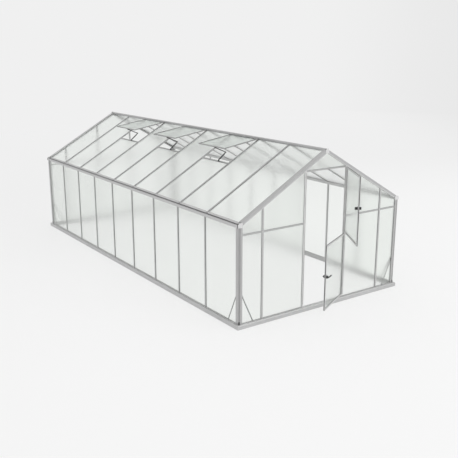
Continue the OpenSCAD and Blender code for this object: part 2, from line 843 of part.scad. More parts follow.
// Places a vent, drawn along the slope with its hinge line at the origin, open
module vent_place(b) {
    on_slope(-1) translate([vent_hinge, frame_y[b - 1] + vent_side_gap, edge_play])
        rotate([0, -vent_open, 0]) children();
}
vent_w = bay_pitch - 2 * vent_side_gap;
module vent_frame() {
    z0 = (vent_t - vent_sheet_t) / 2;
    difference() {
        cube([vent_len, vent_w, vent_t]);
        translate([vent_bar, vent_bar, -past])
            cube([vent_len - vent_bar - vent_foot, vent_w - 2 * vent_bar, vent_t + 2 * past]);
        translate([vent_bar - vent_groove, vent_bar - vent_groove, z0])
            cube([vent_len - vent_bar - vent_foot + 2 * vent_groove, vent_w - 2 * vent_bar + 2 * vent_groove,
                vent_sheet_t + edge_play]);
    }
}
module vent_frames() {
    color(ALU) for (b = vent_bays) vent_place(b) vent_frame();
}
module vent_sheets() {
    inset = vent_bar - vent_groove + edge_play;
    foot = vent_foot - vent_groove + edge_play;
    color(SHEET) for (b = vent_bays) vent_place(b)
        translate([inset, inset, (vent_t - vent_sheet_t) / 2])
            cube([vent_len - inset - foot, vent_w - 2 * inset, vent_sheet_t]);
}

// Opener: two links from a plate on the sill bar, by an elbow, to a plate under the vent.
// Its points are (down the slope, out of the roof)
foot_pin = [vent_sill_s, opener_bar[0]];
elbow_pin = foot_pin + opener_link * [-cos(opener_tilt), sin(opener_tilt)];
head_arm = vent_len - vent_foot / 2;
head_pin = [vent_hinge + head_arm * cos(vent_open) + opener_lug / 2 * sin(vent_open),
    edge_play + head_arm * sin(vent_open) - opener_lug / 2 * cos(vent_open)];
// Flat link between two pins
module link(p, q, y) {
    d = q - p;
    w = opener_bar[0];
    translate([p[0], y, p[1]]) rotate([0, -atan2(d[1], d[0]), 0])
        translate([-w / 2, 0, -w / 2]) cube([norm(d) + w, opener_bar[1], w]);
}
// Pin through the opener's parts between y0 and y1
module rivet(p, y0, y1) {
    translate([p[0], y1, p[1]]) rotate([90, 0, 0]) cylinder(r = opener_bar[1] / 2, h = y1 - y0);
}
module vent_opener(b) {
    across = opener_share * bay_pitch;
    y = frame_y[b - 1] + across;
    t = opener_bar[1];
    on_slope(-1) {
        link(foot_pin, elbow_pin, y);
        link(elbow_pin, head_pin, y + t);
        rivet(foot_pin, y - t - past, y + t + past);
        rivet(elbow_pin, y - past, y + 2 * t + past);
        rivet(head_pin, y + t - past, y + 3 * t + past);
        translate([vent_sill_s - vent_sill_w / 2, y - t, 0]) cube([vent_sill_w, t, opener_lug]);
    }
    vent_place(b) translate([vent_len - vent_foot, across - vent_side_gap + 2 * t, -opener_lug])
        cube([vent_foot, t, opener_lug]);
}
module vent_openers() {
    color(BLACK) for (b = vent_bays) vent_opener(b);
}

// ---------- drawing ----------

base_rail_front();
base_rail_rear();
base_rail_left();
base_rail_right();
sill_profiles();
corner_post_front_left();
corner_post_front_right();
corner_post_rear_left();
corner_post_rear_right();
wall_studs_left();
wall_studs_right();
wall_sheets_left();
wall_sheets_right();
eave_gutter_left();
eave_gutter_right();
ridge_beam();
end_caps();
rafters_left();
rafters_right();
roof_sheets_left();
roof_sheets_right();
gable_rafters_front();
gable_rafters_rear();
gable_studs_front();
gable_studs_rear();
gable_rails_front();
gable_rails_rear();
gable_sheets_front();
gable_sheets_rear();
door_jambs();
door_header();
hinge_post();
corner_braces();
vent_sill_bars();
vent_frames();
vent_sheets();
vent_openers();
lower_leaf_frame();
lower_leaf_sheet();
lower_leaf_roses();
lower_leaf_handle();
upper_leaf_frame();
upper_leaf_sheet();
upper_leaf_roses();
upper_leaf_handle();
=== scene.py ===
# %% [markdown]
# # A walk-in greenhouse with an aluminium frame and frosted polycarbonate
#
# The exact parts of the house (rails, posts, bars, sheets, vents and door leaves) come from
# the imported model. This lesson lights them, gives each one its finish, and models the small
# things that make the house look built: gaskets, screws, hinge strips, brush seals and
# the openers' cylinders.

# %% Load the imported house
import json
import math

import bmesh
import bpy
from mathutils import Matrix, Vector


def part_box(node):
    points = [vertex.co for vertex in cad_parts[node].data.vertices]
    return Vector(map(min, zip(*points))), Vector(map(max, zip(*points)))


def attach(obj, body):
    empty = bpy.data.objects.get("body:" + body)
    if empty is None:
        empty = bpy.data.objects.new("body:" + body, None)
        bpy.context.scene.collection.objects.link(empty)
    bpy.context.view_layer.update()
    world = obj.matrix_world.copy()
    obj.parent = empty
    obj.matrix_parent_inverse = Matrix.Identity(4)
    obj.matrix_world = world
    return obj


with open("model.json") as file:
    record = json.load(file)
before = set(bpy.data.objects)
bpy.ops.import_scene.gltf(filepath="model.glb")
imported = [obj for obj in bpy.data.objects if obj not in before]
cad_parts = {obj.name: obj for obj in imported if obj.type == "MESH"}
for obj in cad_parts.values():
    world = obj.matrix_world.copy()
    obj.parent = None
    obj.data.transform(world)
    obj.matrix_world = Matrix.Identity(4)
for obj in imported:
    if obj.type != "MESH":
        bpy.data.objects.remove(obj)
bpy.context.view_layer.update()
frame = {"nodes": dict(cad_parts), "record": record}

# %% [markdown]
# ## Camera
#
# The eye stands in front of the left corner, a little above the ridge, and looks down
# by 15 degrees. A longish lens keeps the long wall from racing away.

# %% Camera
EYE = (-6.5569, -6.9409, 3.7051)
LOOKS_DOWN, LOOKS_RIGHT = 14.982, 35.097
SENSOR, LENS, FARTHEST = 36, 53.487, 200
camera = bpy.data.objects.new("camera", bpy.data.cameras.new("camera"))
bpy.context.scene.collection.objects.link(camera)
camera.location = EYE
camera.rotation_euler = (math.radians(90 - LOOKS_DOWN), 0, math.radians(-LOOKS_RIGHT))
camera.data.sensor_fit = "HORIZONTAL"
camera.data.sensor_width = SENSOR
camera.data.lens = LENS
camera.data.clip_end = FARTHEST
bpy.context.scene.camera = camera
bpy.context.scene.view_settings.view_transform = "Standard"
print("camera: a lens of", LENS, "mm, looking down by", LOOKS_DOWN, "degrees")

# %% [markdown]
# ## Small helpers for nodes
#
# A material or a world is a tree of nodes with links between their sockets. The same few steps
# come back in most trees: a calculation with one or two values, a change of range, a measure
# along a direction and a mix of two shaders. Each gets a short function that makes the node,
# links it and gives back its output, so that a finish later reads like a recipe.

# %% Values
def combined(tree, operation, first, second=0.0):
    """A calculation with two values, each a number or the output of another node."""
    node = tree.nodes.new("ShaderNodeMath")
    node.operation = operation
    for socket, value in zip(node.inputs, (first, second)):
        if isinstance(value, float):
            socket.default_value = value
        else:
            tree.links.new(value, socket)
    return node.outputs[0]


def ranged(tree, value, lows, highs, kind="SMOOTHSTEP"):
    """The value moved from one range to another."""
    made = tree.nodes.new("ShaderNodeMapRange")
    made.interpolation_type = kind
    made.inputs["From Min"].default_value = lows[0]
    made.inputs["From Max"].default_value = lows[1]
    made.inputs["To Min"].default_value = highs[0]
    made.inputs["To Max"].default_value = highs[1]
    tree.links.new(value, made.inputs["Value"])
    return made.outputs["Result"]


def measured(tree, place, operation, other):
    """How far a place lies along a direction (DOT_PRODUCT) or from a point (DISTANCE)."""
    node = tree.nodes.new("ShaderNodeVectorMath")
    node.operation = operation
    node.inputs[1].default_value = other
    tree.links.new(place, node.inputs[0])
    return node.outputs["Value"]


# %% Shaders
def plain(tree, kind, colour, strength=None):
    """A shader of one kind with a fixed colour, and a strength where it has one."""
    node = tree.nodes.new(kind)
    node.inputs["Color"].default_value = colour
    if strength is not None:
        node.inputs["Strength"].default_value = strength
    return node.outputs[0]


def mixed(tree, share, first, second):
    """The first shader where the share is 0, the second where it is 1."""
    node = tree.nodes.new("ShaderNodeMixShader")
    tree.links.new(share, node.inputs["Fac"])
    tree.links.new(first, node.inputs[1])
    tree.links.new(second, node.inputs[2])
    return node.outputs[0]


# %% [markdown]
# ## Light
#
# Frosted sheets and matt aluminium look right in a bright, even studio. The world gives
# most of the light. One large lamp in front on the right makes the door gable a little
# paler than the long wall. What the camera sees behind the house is a fixed pale grey, and so is
# what metal and glass see, so the background never depends on the lamps. The backdrop gets a
# little darker towards the right.

# %% Backdrop
TO_THE_RIGHT = (0.818, -0.575, 0)
BACKDROP = (0.872, 0.872, 0.872, 1)
FAR_SIDE = (0.815, 0.815, 0.815, 1)


def falls_off(tree, vector, reach):
    """The backdrop's colour, darker towards the right over the given reach."""
    blend = tree.nodes.new("ShaderNodeMix")
    blend.data_type = "RGBA"
    blend.inputs["A"].default_value = BACKDROP
    blend.inputs["B"].default_value = FAR_SIDE
    along = measured(tree, vector, "DOT_PRODUCT", TO_THE_RIGHT)
    tree.links.new(ranged(tree, along, reach, (0, 1)), blend.inputs["Factor"])
    return blend.outputs["Result"]


def sees_backdrop(tree):
    """1 for rays that come straight from the camera, off metal or through glass."""
    path = tree.nodes.new("ShaderNodeLightPath")
    total = path.outputs["Is Camera Ray"]
    for name in ("Is Glossy Ray", "Is Transmission Ray"):
        total = combined(tree, "MAXIMUM", total, path.outputs[name])
    return total


print("backdrop from", BACKDROP[0], "to", FAR_SIDE[0])

# %% World
AMBIENT = 0.88
SKY_REACH = (0.10, 0.34)
world = bpy.data.worlds.new("studio")
bpy.context.scene.world = world
world.use_nodes = True
tree = world.node_tree
tree.nodes.clear()
where = tree.nodes.new("ShaderNodeTexCoord")
seen = tree.nodes.new("ShaderNodeBackground")
tree.links.new(falls_off(tree, where.outputs["Generated"], SKY_REACH), seen.inputs["Color"])
ambient = plain(tree, "ShaderNodeBackground", (1, 1, 1, 1), AMBIENT)
out = tree.nodes.new("ShaderNodeOutputWorld")
either = mixed(tree, sees_backdrop(tree), ambient, seen.outputs[0])
tree.links.new(either, out.inputs["Surface"])
print("world light", AMBIENT)

# %% Lamp
def area_lamp(name, place, towards, size, watts):
    """A square area lamp at a place, turned to face a point."""
    lamp = bpy.data.lights.new(name, "AREA")
    lamp.size = size
    lamp.energy = watts
    holder = bpy.data.objects.new(name, lamp)
    bpy.context.scene.collection.objects.link(holder)
    holder.location = place
    holder.rotation_euler = (Vector(towards) - Vector(place)).to_track_quat("-Z", "Y").to_euler()
    return holder


key = area_lamp("key", place=(5, -11, 9), towards=(0, 2, 1), size=9, watts=450)
print("lamp:", key.name, key.data.energy, "watts")

# %% [markdown]
# ## Floor
#
# A plain pale floor under the house. Its paint is mostly a fixed tone, and only a share of it is
# lit, so the house leaves the soft, faint shadow that it would have in a bright room. Light that
# bounces off the floor comes from a plain matt grey, so only the lamps and the world set its
# level. The fixed tone is brighter round one spot in front of the house: a painted pool of light.

# %% Floor disc
def disc(name, radius, centre):
    """A round flat piece, made by filling a circle."""
    bpy.ops.object.select_all(action="DESELECT")
    bpy.ops.mesh.primitive_circle_add(vertices=96, radius=radius, fill_type="NGON", location=centre)
    made = bpy.context.object
    made.name = name
    bpy.ops.object.transform_apply(location=True, rotation=True, scale=True)
    return made


FLOOR_RADIUS, FLOOR_MIDDLE = 30, (0, 3.4, -0.002)
floor = disc("floor", FLOOR_RADIUS, FLOOR_MIDDLE)
print("floor radius", FLOOR_RADIUS, "m")

# %% Floor paint: the fixed tone
POOL_OF_LIGHT_TONE = (0.93, 0.93, 0.93, 1)
# Painted light: the floor's fixed tone is brighter round this spot, a painted pool of light.
POOL_OF_LIGHT_CENTRE = (4, -5, 0)
FLOOR_REACH, POOL_OF_LIGHT_REACH = (4.5, 13.0), (8, 17)
floor_paint = bpy.data.materials.new("floor_paint")
floor_paint.use_nodes = True
tree = floor_paint.node_tree
tree.nodes.clear()
where = tree.nodes.new("ShaderNodeTexCoord")
place = where.outputs["Object"]
apart = measured(tree, place, "DISTANCE", POOL_OF_LIGHT_CENTRE)
near = tree.nodes.new("ShaderNodeMix")
near.data_type = "RGBA"
near.inputs["B"].default_value = POOL_OF_LIGHT_TONE
tree.links.new(falls_off(tree, place, FLOOR_REACH), near.inputs["A"])
tree.links.new(ranged(tree, apart, POOL_OF_LIGHT_REACH, (1, 0)), near.inputs["Factor"])
fixed = tree.nodes.new("ShaderNodeEmission")
tree.links.new(near.outputs["Result"], fixed.inputs["Color"])
print("floor tone near the house", POOL_OF_LIGHT_TONE[0])

# %% Floor paint: the lit share
LIT_TONE, BOUNCE_TONE = (0.94, 0.94, 0.94, 1), (0.80, 0.80, 0.80, 1)
LIT_REACH, FIXED_SHARE = (12, 28), 0.72
lit = plain(tree, "ShaderNodeBsdfDiffuse", LIT_TONE)
seen = mixed(tree, ranged(tree, apart, LIT_REACH, (FIXED_SHARE, 1)), lit, fixed.outputs[0])
bounce = plain(tree, "ShaderNodeBsdfDiffuse", BOUNCE_TONE)
out = tree.nodes.new("ShaderNodeOutputMaterial")
tree.links.new(mixed(tree, sees_backdrop(tree), bounce, seen), out.inputs["Surface"])
floor.data.materials.append(floor_paint)
print("lit share of the floor near the house", round(1 - FIXED_SHARE, 2))

# %% [markdown]
# ## Shared effects
#
# Two effects come back in many finishes. Drawn metal has fine lines along the bar,
# left by the die it was pressed through. Every outdoor surface also has slow, cloudy changes of
# tone. Each effect is a node group with its own inputs, so one finish can have more of
# it than another.

# %% Group: cloudy tone
def new_group(name, inputs, outputs):
    """An empty shader node group with named sockets: (name, kind, default)."""
    group = bpy.data.node_groups.new(name, "ShaderNodeTree")
    for label, kind, default in inputs:
        socket = group.interface.new_socket(name=label, in_out="INPUT", socket_type=kind)
        if default is not None:
            socket.default_value = default
    for label, kind in outputs:
        group.interface.new_socket(name=label, in_out="OUTPUT", socket_type=kind)
    return group, group.nodes.new("NodeGroupInput"), group.nodes.new("NodeGroupOutput")


FLOAT, VECTOR = "NodeSocketFloat", "NodeSocketVector"
cloudy, inside, outside = new_group(
    "cloudy_tone",
    [("Vector", VECTOR, None), ("Size", FLOAT, 3.0), ("Low", FLOAT, 0.95), ("High", FLOAT, 1.05)],
    [("Tone", FLOAT)])
clouds = cloudy.nodes.new("ShaderNodeTexNoise")
clouds.inputs["Detail"].default_value = 3
spread = cloudy.nodes.new("ShaderNodeMapRange")
spread.inputs["From Min"].default_value = 0.3
spread.inputs["From Max"].default_value = 0.7
cloudy.links.new(inside.outputs["Vector"], clouds.inputs["Vector"])
cloudy.links.new(inside.outputs["Size"], clouds.inputs["Scale"])
cloudy.links.new(clouds.outputs["Fac"], spread.inputs["Value"])
cloudy.links.new(inside.outputs["Low"], spread.inputs["To Min"])
cloudy.links.new(inside.outputs["High"], spread.inputs["To Max"])
cloudy.links.new(spread.outputs["Result"], outside.inputs["Tone"])
print("group:", cloudy.name)

# %% Group: drawn lines
drawn, inside, outside = new_group(
    "drawn_lines",
    [("Vector", VECTOR, None), ("Depth", FLOAT, 0.05), ("Roughness", FLOAT, 0.42)],
    [("Tone", FLOAT), ("Roughness", FLOAT), ("Height", FLOAT)])
streak = drawn.nodes.new("ShaderNodeTexNoise")
streak.inputs["Scale"].default_value = 1.0
streak.inputs["Detail"].default_value = 4
streak.inputs["Roughness"].default_value = 0.6
drawn.links.new(inside.outputs["Vector"], streak.inputs["Vector"])
height = streak.outputs["Fac"]
deep = combined(drawn, "MULTIPLY", combined(drawn, "SUBTRACT", height, 0.5), inside.outputs["Depth"])
rough = combined(drawn, "ADD", deep, inside.outputs["Roughness"])
drawn.links.new(combined(drawn, "ADD", deep, 1.0), outside.inputs["Tone"])
drawn.links.new(rough, outside.inputs["Roughness"])
drawn.links.new(height, outside.inputs["Height"])
print("group:", drawn.name)

# %% [markdown]
# ## How a finish starts
#
# Every finish is a Principled shader with its own output. A shared effect is placed in it as a
# group node, and its tones make the finish's colour lighter and darker from place to place. A
# bump lets the fine lines and grains catch the light without changing the shape.

# %% Starting a finish
def start_material(name):
    """A new node material: the material, its tree and its Principled shader."""
    made = bpy.data.materials.new(name)
    made.use_nodes = True
    made.node_tree.nodes.clear()
    shader = made.node_tree.nodes.new("ShaderNodeBsdfPrincipled")
    out = made.node_tree.nodes.new("ShaderNodeOutputMaterial")
    made.node_tree.links.new(shader.outputs["BSDF"], out.inputs["Surface"])
    return made, made.node_tree, shader


def add_group(tree, group, **values):
    """Places a node group with the given input values."""
    node = tree.nodes.new("ShaderNodeGroup")
    node.node_tree = group
    for label, value in values.items():
        node.inputs[label].default_value = value
    return node


def tinted(tree, colour, *tones):
    """The colour, made lighter and darker by each tone in turn."""
    last = None
    for tone in tones:
        scaled = tree.nodes.new("ShaderNodeVectorMath")
        scaled.operation = "SCALE"
        if last is None:
            scaled.inputs[0].default_value = colour
        else:
            tree.links.new(last, scaled.inputs[0])
        tree.links.new(tone, scaled.inputs["Scale"])
        last = scaled.outputs["Vector"]
    return last


def raise_surface(tree, shader, height, strength, distance):
    """A bump that follows the height."""
    bump = tree.nodes.new("ShaderNodeBump")
    bump.inputs["Strength"].default_value = strength
    bump.inputs["Distance"].default_value = distance
    tree.links.new(height, bump.inputs["Height"])
    tree.links.new(bump.outputs["Normal"], shader.inputs["Normal"])


# %% [markdown]
# ## Aluminium
#
# Mill finish aluminium is a matt grey metal. A stretched noise makes its drawn lines, so each
# direction of bar needs its own copy of the finish: upright, along the house, across it, and
# down the two slopes of the roof. The two slopes are mirror images, so one finish serves both
# where the distance from the middle is taken without its sign. Further copies are lighter or
# darker greys of the same metal, painted light and shade for how light falls on those parts.

# %% Aluminium
def aluminium(name, stretch, turn=0.0, mirrored=False, grey=0.50, metal=0.85, roughness=0.42):
    """Drawn aluminium; stretch is how finely the noise varies along each axis."""
    made, tree, shader = start_material(name)
    where = tree.nodes.new("ShaderNodeTexCoord")
    place = where.outputs["Object"]
    if mirrored:
        folded = tree.nodes.new("ShaderNodeVectorMath")
        folded.operation = "ABSOLUTE"
        tree.links.new(place, folded.inputs[0])
        place = folded.outputs["Vector"]
    turned = tree.nodes.new("ShaderNodeMapping")
    turned.inputs["Rotation"].default_value = (0, math.radians(turn), 0)
    tree.links.new(place, turned.inputs["Vector"])
    stretched = tree.nodes.new("ShaderNodeMapping")
    stretched.inputs["Scale"].default_value = stretch
    tree.links.new(turned.outputs["Vector"], stretched.inputs["Vector"])
    lines = add_group(tree, drawn, Depth=0.10, Roughness=roughness)
    tree.links.new(stretched.outputs["Vector"], lines.inputs["Vector"])
    cloud = add_group(tree, cloudy, Size=1.7, Low=0.96, High=1.04)
    tree.links.new(where.outputs["Object"], cloud.inputs["Vector"])
    colour = tinted(tree, (grey, grey, grey), lines.outputs["Tone"], cloud.outputs["Tone"])
    tree.links.new(colour, shader.inputs["Base Color"])
    tree.links.new(lines.outputs["Roughness"], shader.inputs["Roughness"])
    raise_surface(tree, shader, lines.outputs["Height"], strength=0.5, distance=0.0001)
    shader.inputs["Metallic"].default_value = metal
    return made


# %% Aluminium finishes
SLOPE = 29.6
FINEST, FINE, EVEN, LONG = 400, 260, 90, 3
UPRIGHT, ALONG, ACROSS = (FINE, FINE, LONG), (FINE, LONG, FINE), (LONG, FINE, FINE)
ANY_WAY = (EVEN, EVEN, EVEN)
alu_up = aluminium("aluminium_upright", UPRIGHT)
alu_along = aluminium("aluminium_along", ALONG)
alu_across = aluminium("aluminium_across", ACROSS)
alu_slope = aluminium("aluminium_slope", ACROSS, turn=-SLOPE, mirrored=True)
alu_any = aluminium("aluminium_small_parts", ANY_WAY)
# Painted light and shade: apart from the screws these are all one aluminium. The gable studs, doorway,
# gutters, leaf frames, base and sill get lighter greys, and the vent frames and braces darker ones.
alu_gable_up = aluminium("aluminium_gable_upright", UPRIGHT, grey=0.54)
alu_doorway = aluminium("aluminium_doorway", UPRIGHT, grey=0.70, metal=0.45, roughness=0.5)
alu_gutter = aluminium("aluminium_gutter", ALONG, grey=0.58)
alu_leaf = aluminium("aluminium_leaf_frames", ANY_WAY, grey=0.62, metal=0.5)
alu_vent = aluminium("aluminium_vent_frames", ANY_WAY, grey=0.38)
alu_brace = aluminium("aluminium_braces", ANY_WAY, grey=0.36)
base_along = aluminium("base_along", ALONG, grey=0.56, metal=0.5, roughness=0.5)
base_across = aluminium("base_across", ACROSS, grey=0.56, metal=0.5, roughness=0.5)
sill_metal = aluminium("sill_metal", ANY_WAY, grey=0.66, metal=0.5, roughness=0.5)
screw_metal = aluminium("screw_metal", (FINEST, FINEST, FINEST), grey=0.40)
print("finishes so far:", len(bpy.data.materials))

# %% [markdown]
# ## Frosted polycarbonate
#
# The sheet lets light through but blurs what is behind it, more with distance. That is
# transmission with some roughness. Its ribs run up the wall, or down the roof, a few
# millimetres apart. They show only close up, as a faint ripple. For shadows and bounced light
# the sheet is simply clear with a slight tint, because rough transmission would leave the
# inside of the house dark and grainy.

# %% Ribs across a sheet
RIB_PITCH = 0.008
RIB_SHADE = (0.99, 1.0)


def ribs(tree, place, direction):
    """A wave from -1 to 1 with one crest for each rib, along the direction."""
    along = measured(tree, place, "DOT_PRODUCT", direction)
    turns = combined(tree, "MULTIPLY", along, 2 * math.pi / RIB_PITCH)
    return combined(tree, "SINE", turns)


print("ribs every", 1000 * RIB_PITCH, "mm")

# %% Light through a sheet
SHEET_SHADOW = (0.93, 0.94, 0.93, 1)


def clear_to_light(tree, shader):
    """Lets shadow rays and bounced light straight through the sheet."""
    path = tree.nodes.new("ShaderNodeLightPath")
    light = combined(tree, "MAXIMUM", path.outputs["Is Shadow Ray"], path.outputs["Is Diffuse Ray"])
    clear = plain(tree, "ShaderNodeBsdfTransparent", SHEET_SHADOW)
    either = mixed(tree, light, shader.outputs["BSDF"], clear)
    tree.links.new(either, tree.nodes["Material Output"].inputs["Surface"])


print("a sheet lets", SHEET_SHADOW[1], "of the light through")

# %% Frosted polycarbonate
def polycarbonate(name, direction, roughness, ior, tint):
    """Frosted sheet whose ribs are spaced along the direction."""
    made, tree, shader = start_material(name)
    where = tree.nodes.new("ShaderNodeTexCoord")
    wave = ribs(tree, where.outputs["Object"], direction)
    shade = ranged(tree, wave, (-1, 1), RIB_SHADE, "LINEAR")
    cloud = add_group(tree, cloudy, Size=0.9, Low=0.985, High=1.005)
    tree.links.new(where.outputs["Object"], cloud.inputs["Vector"])
    tree.links.new(tinted(tree, tint, shade, cloud.outputs["Tone"]), shader.inputs["Base Color"])
    raise_surface(tree, shader, wave, strength=0.15, distance=0.0004)
    shader.inputs["Roughness"].default_value = roughness
    shader.inputs["IOR"].default_value = ior
    shader.inputs["Transmission Weight"].default_value = 1.0
    clear_to_light(tree, shader)
    return made


joints = {joint["name"]: joint for joint in frame["record"]["behaviour"]["joints"]}


def leaf_opening(which):
    """The angle at which one leaf stands open at rest."""
    return math.radians(-joints[which + "_leaf_swing"]["range_deg"][0])


def along_leaf(which):
    """The direction along one leaf, from its hinges' line, as it stands at rest."""
    return (math.cos(leaf_opening(which)), math.sin(leaf_opening(which)), 0)


print("the lower leaf stands open by", round(math.degrees(leaf_opening("lower")), 1), "degrees")

# %% Sheet finishes
# Painted light and shade: all the sheets are one polycarbonate. GABLE_TINT is a touch darker, and the
# roof's and the upper leaf's tints a touch lighter, than SHEET_TINT, for how light falls on them.
SHEET_TINT = (0.965, 0.982, 0.965)
GABLE_TINT = (0.955, 0.970, 0.955)
LEAF_TINT = (0.990, 1.000, 0.990)
VENT_TINT = (0.968, 1.000, 0.976)
ROOF_LIGHTER_TINT = (0.983, 0.995, 0.984)
sheet_wall = polycarbonate("polycarbonate_wall", (0, 1, 0), 0.26, 1.16, SHEET_TINT)
sheet_roof = polycarbonate("polycarbonate_roof", (0, 1, 0), 0.28, 1.06, ROOF_LIGHTER_TINT)
sheet_vent = polycarbonate("polycarbonate_vents", (0, 1, 0), 0.28, 1.06, VENT_TINT)
sheet_gable = polycarbonate("polycarbonate_gable", (1, 0, 0), 0.37, 1.13, GABLE_TINT)
sheet_lower = polycarbonate("polycarbonate_lower_leaf", along_leaf("lower"), 0.22, 1.08, SHEET_TINT)
sheet_upper = polycarbonate("polycarbonate_upper_leaf", along_leaf("upper"), 0.30, 1.055, LEAF_TINT)
print("finishes so far:", len(bpy.data.materials))

# %% [markdown]
# ## Plastics and dark parts
#
# The end caps are moulded in a pale grey plastic, the handles in black. The vent openers are
# painted black, and the seals are rubber. None of these has metal in its surface. Each has a very
# fine grain instead, and the brush seals have a coarser and deeper one.

# %% Plastics
def moulded(name, colour, roughness, grain=600, grain_deep=0.0001):
    """Moulded or painted surface with a fine grain and a slightly cloudy tone."""
    made, tree, shader = start_material(name)
    where = tree.nodes.new("ShaderNodeTexCoord")
    cloud = add_group(tree, cloudy, Size=9.0, Low=0.95, High=1.05)
    tree.links.new(where.outputs["Object"], cloud.inputs["Vector"])
    tree.links.new(tinted(tree, colour, cloud.outputs["Tone"]), shader.inputs["Base Color"])
    fine = tree.nodes.new("ShaderNodeTexNoise")
    fine.inputs["Scale"].default_value = grain
    tree.links.new(where.outputs["Object"], fine.inputs["Vector"])
    raise_surface(tree, shader, fine.outputs["Fac"], strength=0.3, distance=grain_deep)
    shader.inputs["Roughness"].default_value = roughness
    return made


cap_plastic = moulded("cap_plastic", (0.70, 0.70, 0.70), 0.45)
bead_plastic = moulded("bead_plastic", (0.62, 0.62, 0.62), 0.5)
black_plastic = moulded("black_plastic", (0.018, 0.018, 0.019), 0.35)
black_paint = moulded("black_paint", (0.03, 0.03, 0.032), 0.4)
# This dark finish serves the real rubber seals and also the blocks beside the end caps, which are
# painted shade.
black_rubber_and_painted_shade = moulded("black_rubber_and_painted_shade", (0.035, 0.035, 0.036), 0.6)
gasket_rubber = moulded("gasket_rubber", (0.10, 0.10, 0.10), 0.6)
grey_rubber = moulded("grey_rubber", (0.40, 0.40, 0.40), 0.6)
brush_pile = moulded("brush_pile", (0.60, 0.60, 0.59), 0.8, grain=1500, grain_deep=0.0004)
print("finishes in all:", len(bpy.data.materials))

# %% [markdown]
# ## Where the sides are
#
# Small parts are drawn flat, as a maker draws them on paper: x along the side, y up it and z
# outwards. A matrix for each side then stands the drawing on the house. Sizes that show in a
# part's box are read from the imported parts. The others, such as a bar's width or a sheet's
# thickness, repeat the values that the parts were drawn with.

# %% Sizes of the house
SLOPE_ANGLE = math.radians(SLOPE)
COS, SIN = math.cos(SLOPE_ANGLE), math.sin(SLOPE_ANGLE)
wall_low, wall_high = (Vector(corner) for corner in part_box("wall_studs_left"))
rafter_high = Vector(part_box("rafters_left")[1])
HALF_W = -wall_low.x
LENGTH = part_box("eave_gutter_left")[1][1]
SILL_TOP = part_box("sill_profiles")[1][2]
BASE_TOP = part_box("corner_post_front_left")[0][2]
GUTTER_Z = wall_high.z
RIDGE_H = rafter_high.z - rafter_high.x * math.tan(SLOPE_ANGLE)
RIDGE_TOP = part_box("ridge_beam")[1][2]
BAR, CAP, SHEET = 0.030, 0.003, 0.006
POST, FLANGE = 0.064, 0.037
BAYS = 7
FRAMES = [wall_low.y + BAR / 2 + i * (wall_high.y - wall_low.y - BAR) / BAYS for i in range(BAYS + 1)]
print("half width", round(HALF_W, 3), "length", round(LENGTH, 3), "ridge", round(RIDGE_H, 3))

# %% Sides of the house
def side(origin, up, out):
    """The matrix that stands a flat drawing on one side of the house."""
    up, out = Vector(up), Vector(out)
    along = up.cross(out)
    turn = Matrix((along, up, out)).transposed().to_4x4()
    return Matrix.Translation(origin) @ turn


def across(x=0.0, y=0.0, z=0.0):
    """A move within a drawing."""
    return Matrix.Translation((x, y, z))


def on_sides(sides, xs, z=0.0):
    """Places at the given distances along each of some sides."""
    return [one @ across(x, 0, z) for one in sides for x in xs]


FRONT = side((0, 0, 0), (0, 0, 1), (0, -1, 0))
REAR = side((0, LENGTH, 0), (0, 0, 1), (0, 1, 0))
LEFT = side((-HALF_W, LENGTH / 2, 0), (0, 0, 1), (-1, 0, 0))
RIGHT = side((HALF_W, LENGTH / 2, 0), (0, 0, 1), (1, 0, 0))
LEFT_SLOPE = side((0, LENGTH / 2, RIDGE_H), (COS, 0, SIN), (-SIN, 0, COS))
RIGHT_SLOPE = side((0, LENGTH / 2, RIDGE_H), (-COS, 0, SIN), (SIN, 0, COS))
GABLES, WALLS, SLOPES = (FRONT, REAR), (LEFT, RIGHT), (LEFT_SLOPE, RIGHT_SLOPE)
print("left slope faces", [round(v, 3) for v in LEFT_SLOPE.col[2][:3]])

# %% [markdown]
# ## How a small part is made
#
# Each part starts as a block, a rod or a flat piece at its true size. In edit mode its faces or
# edges are picked by place or direction and then beveled, inset or pulled out. A part
# that repeats is made once, and its copies are joined, so that a wall's gaskets are one piece.

# %% Blocks and rods
def blank(name):
    """Names the new shape and moves its place into its mesh."""
    made = bpy.context.object
    made.name = name
    bpy.ops.object.transform_apply(location=True, rotation=True, scale=True)
    return made


def block(name, low, high):
    """A block between two opposite corners."""
    bpy.ops.object.select_all(action="DESELECT")
    low, high = Vector(low), Vector(high)
    bpy.ops.mesh.primitive_cube_add(size=1, location=(low + high) / 2, scale=high - low)
    return blank(name)


def rod(name, radius, start, end, sides=16):
    """A round rod from one point to another."""
    bpy.ops.object.select_all(action="DESELECT")
    start, end = Vector(start), Vector(end)
    turn = (end - start).to_track_quat("Z", "Y").to_euler()
    bpy.ops.mesh.primitive_cylinder_add(vertices=sides, radius=radius, depth=(end - start).length,
                                        location=(start + end) / 2, rotation=turn)
    return blank(name)


# %% Picking faces and edges
NEAR, SAME_WAY = 1e-5, 0.9


def choose(piece, kind, wanted):
    """Opens the piece in edit mode with only the wanted faces or edges selected."""
    bpy.context.view_layer.objects.active = piece
    bpy.ops.object.mode_set(mode="EDIT")
    bpy.ops.mesh.select_mode(type=kind)
    bpy.ops.mesh.select_all(action="DESELECT")
    shape = bmesh.from_edit_mesh(piece.data)
    for part in (shape.faces if kind == "FACE" else shape.edges):
        if wanted(part):
            part.select_set(True)
    bmesh.update_edit_mesh(piece.data)


def facing(direction):
    """Picks the faces that look one way."""
    direction = Vector(direction)
    return lambda face: face.normal.dot(direction) > SAME_WAY


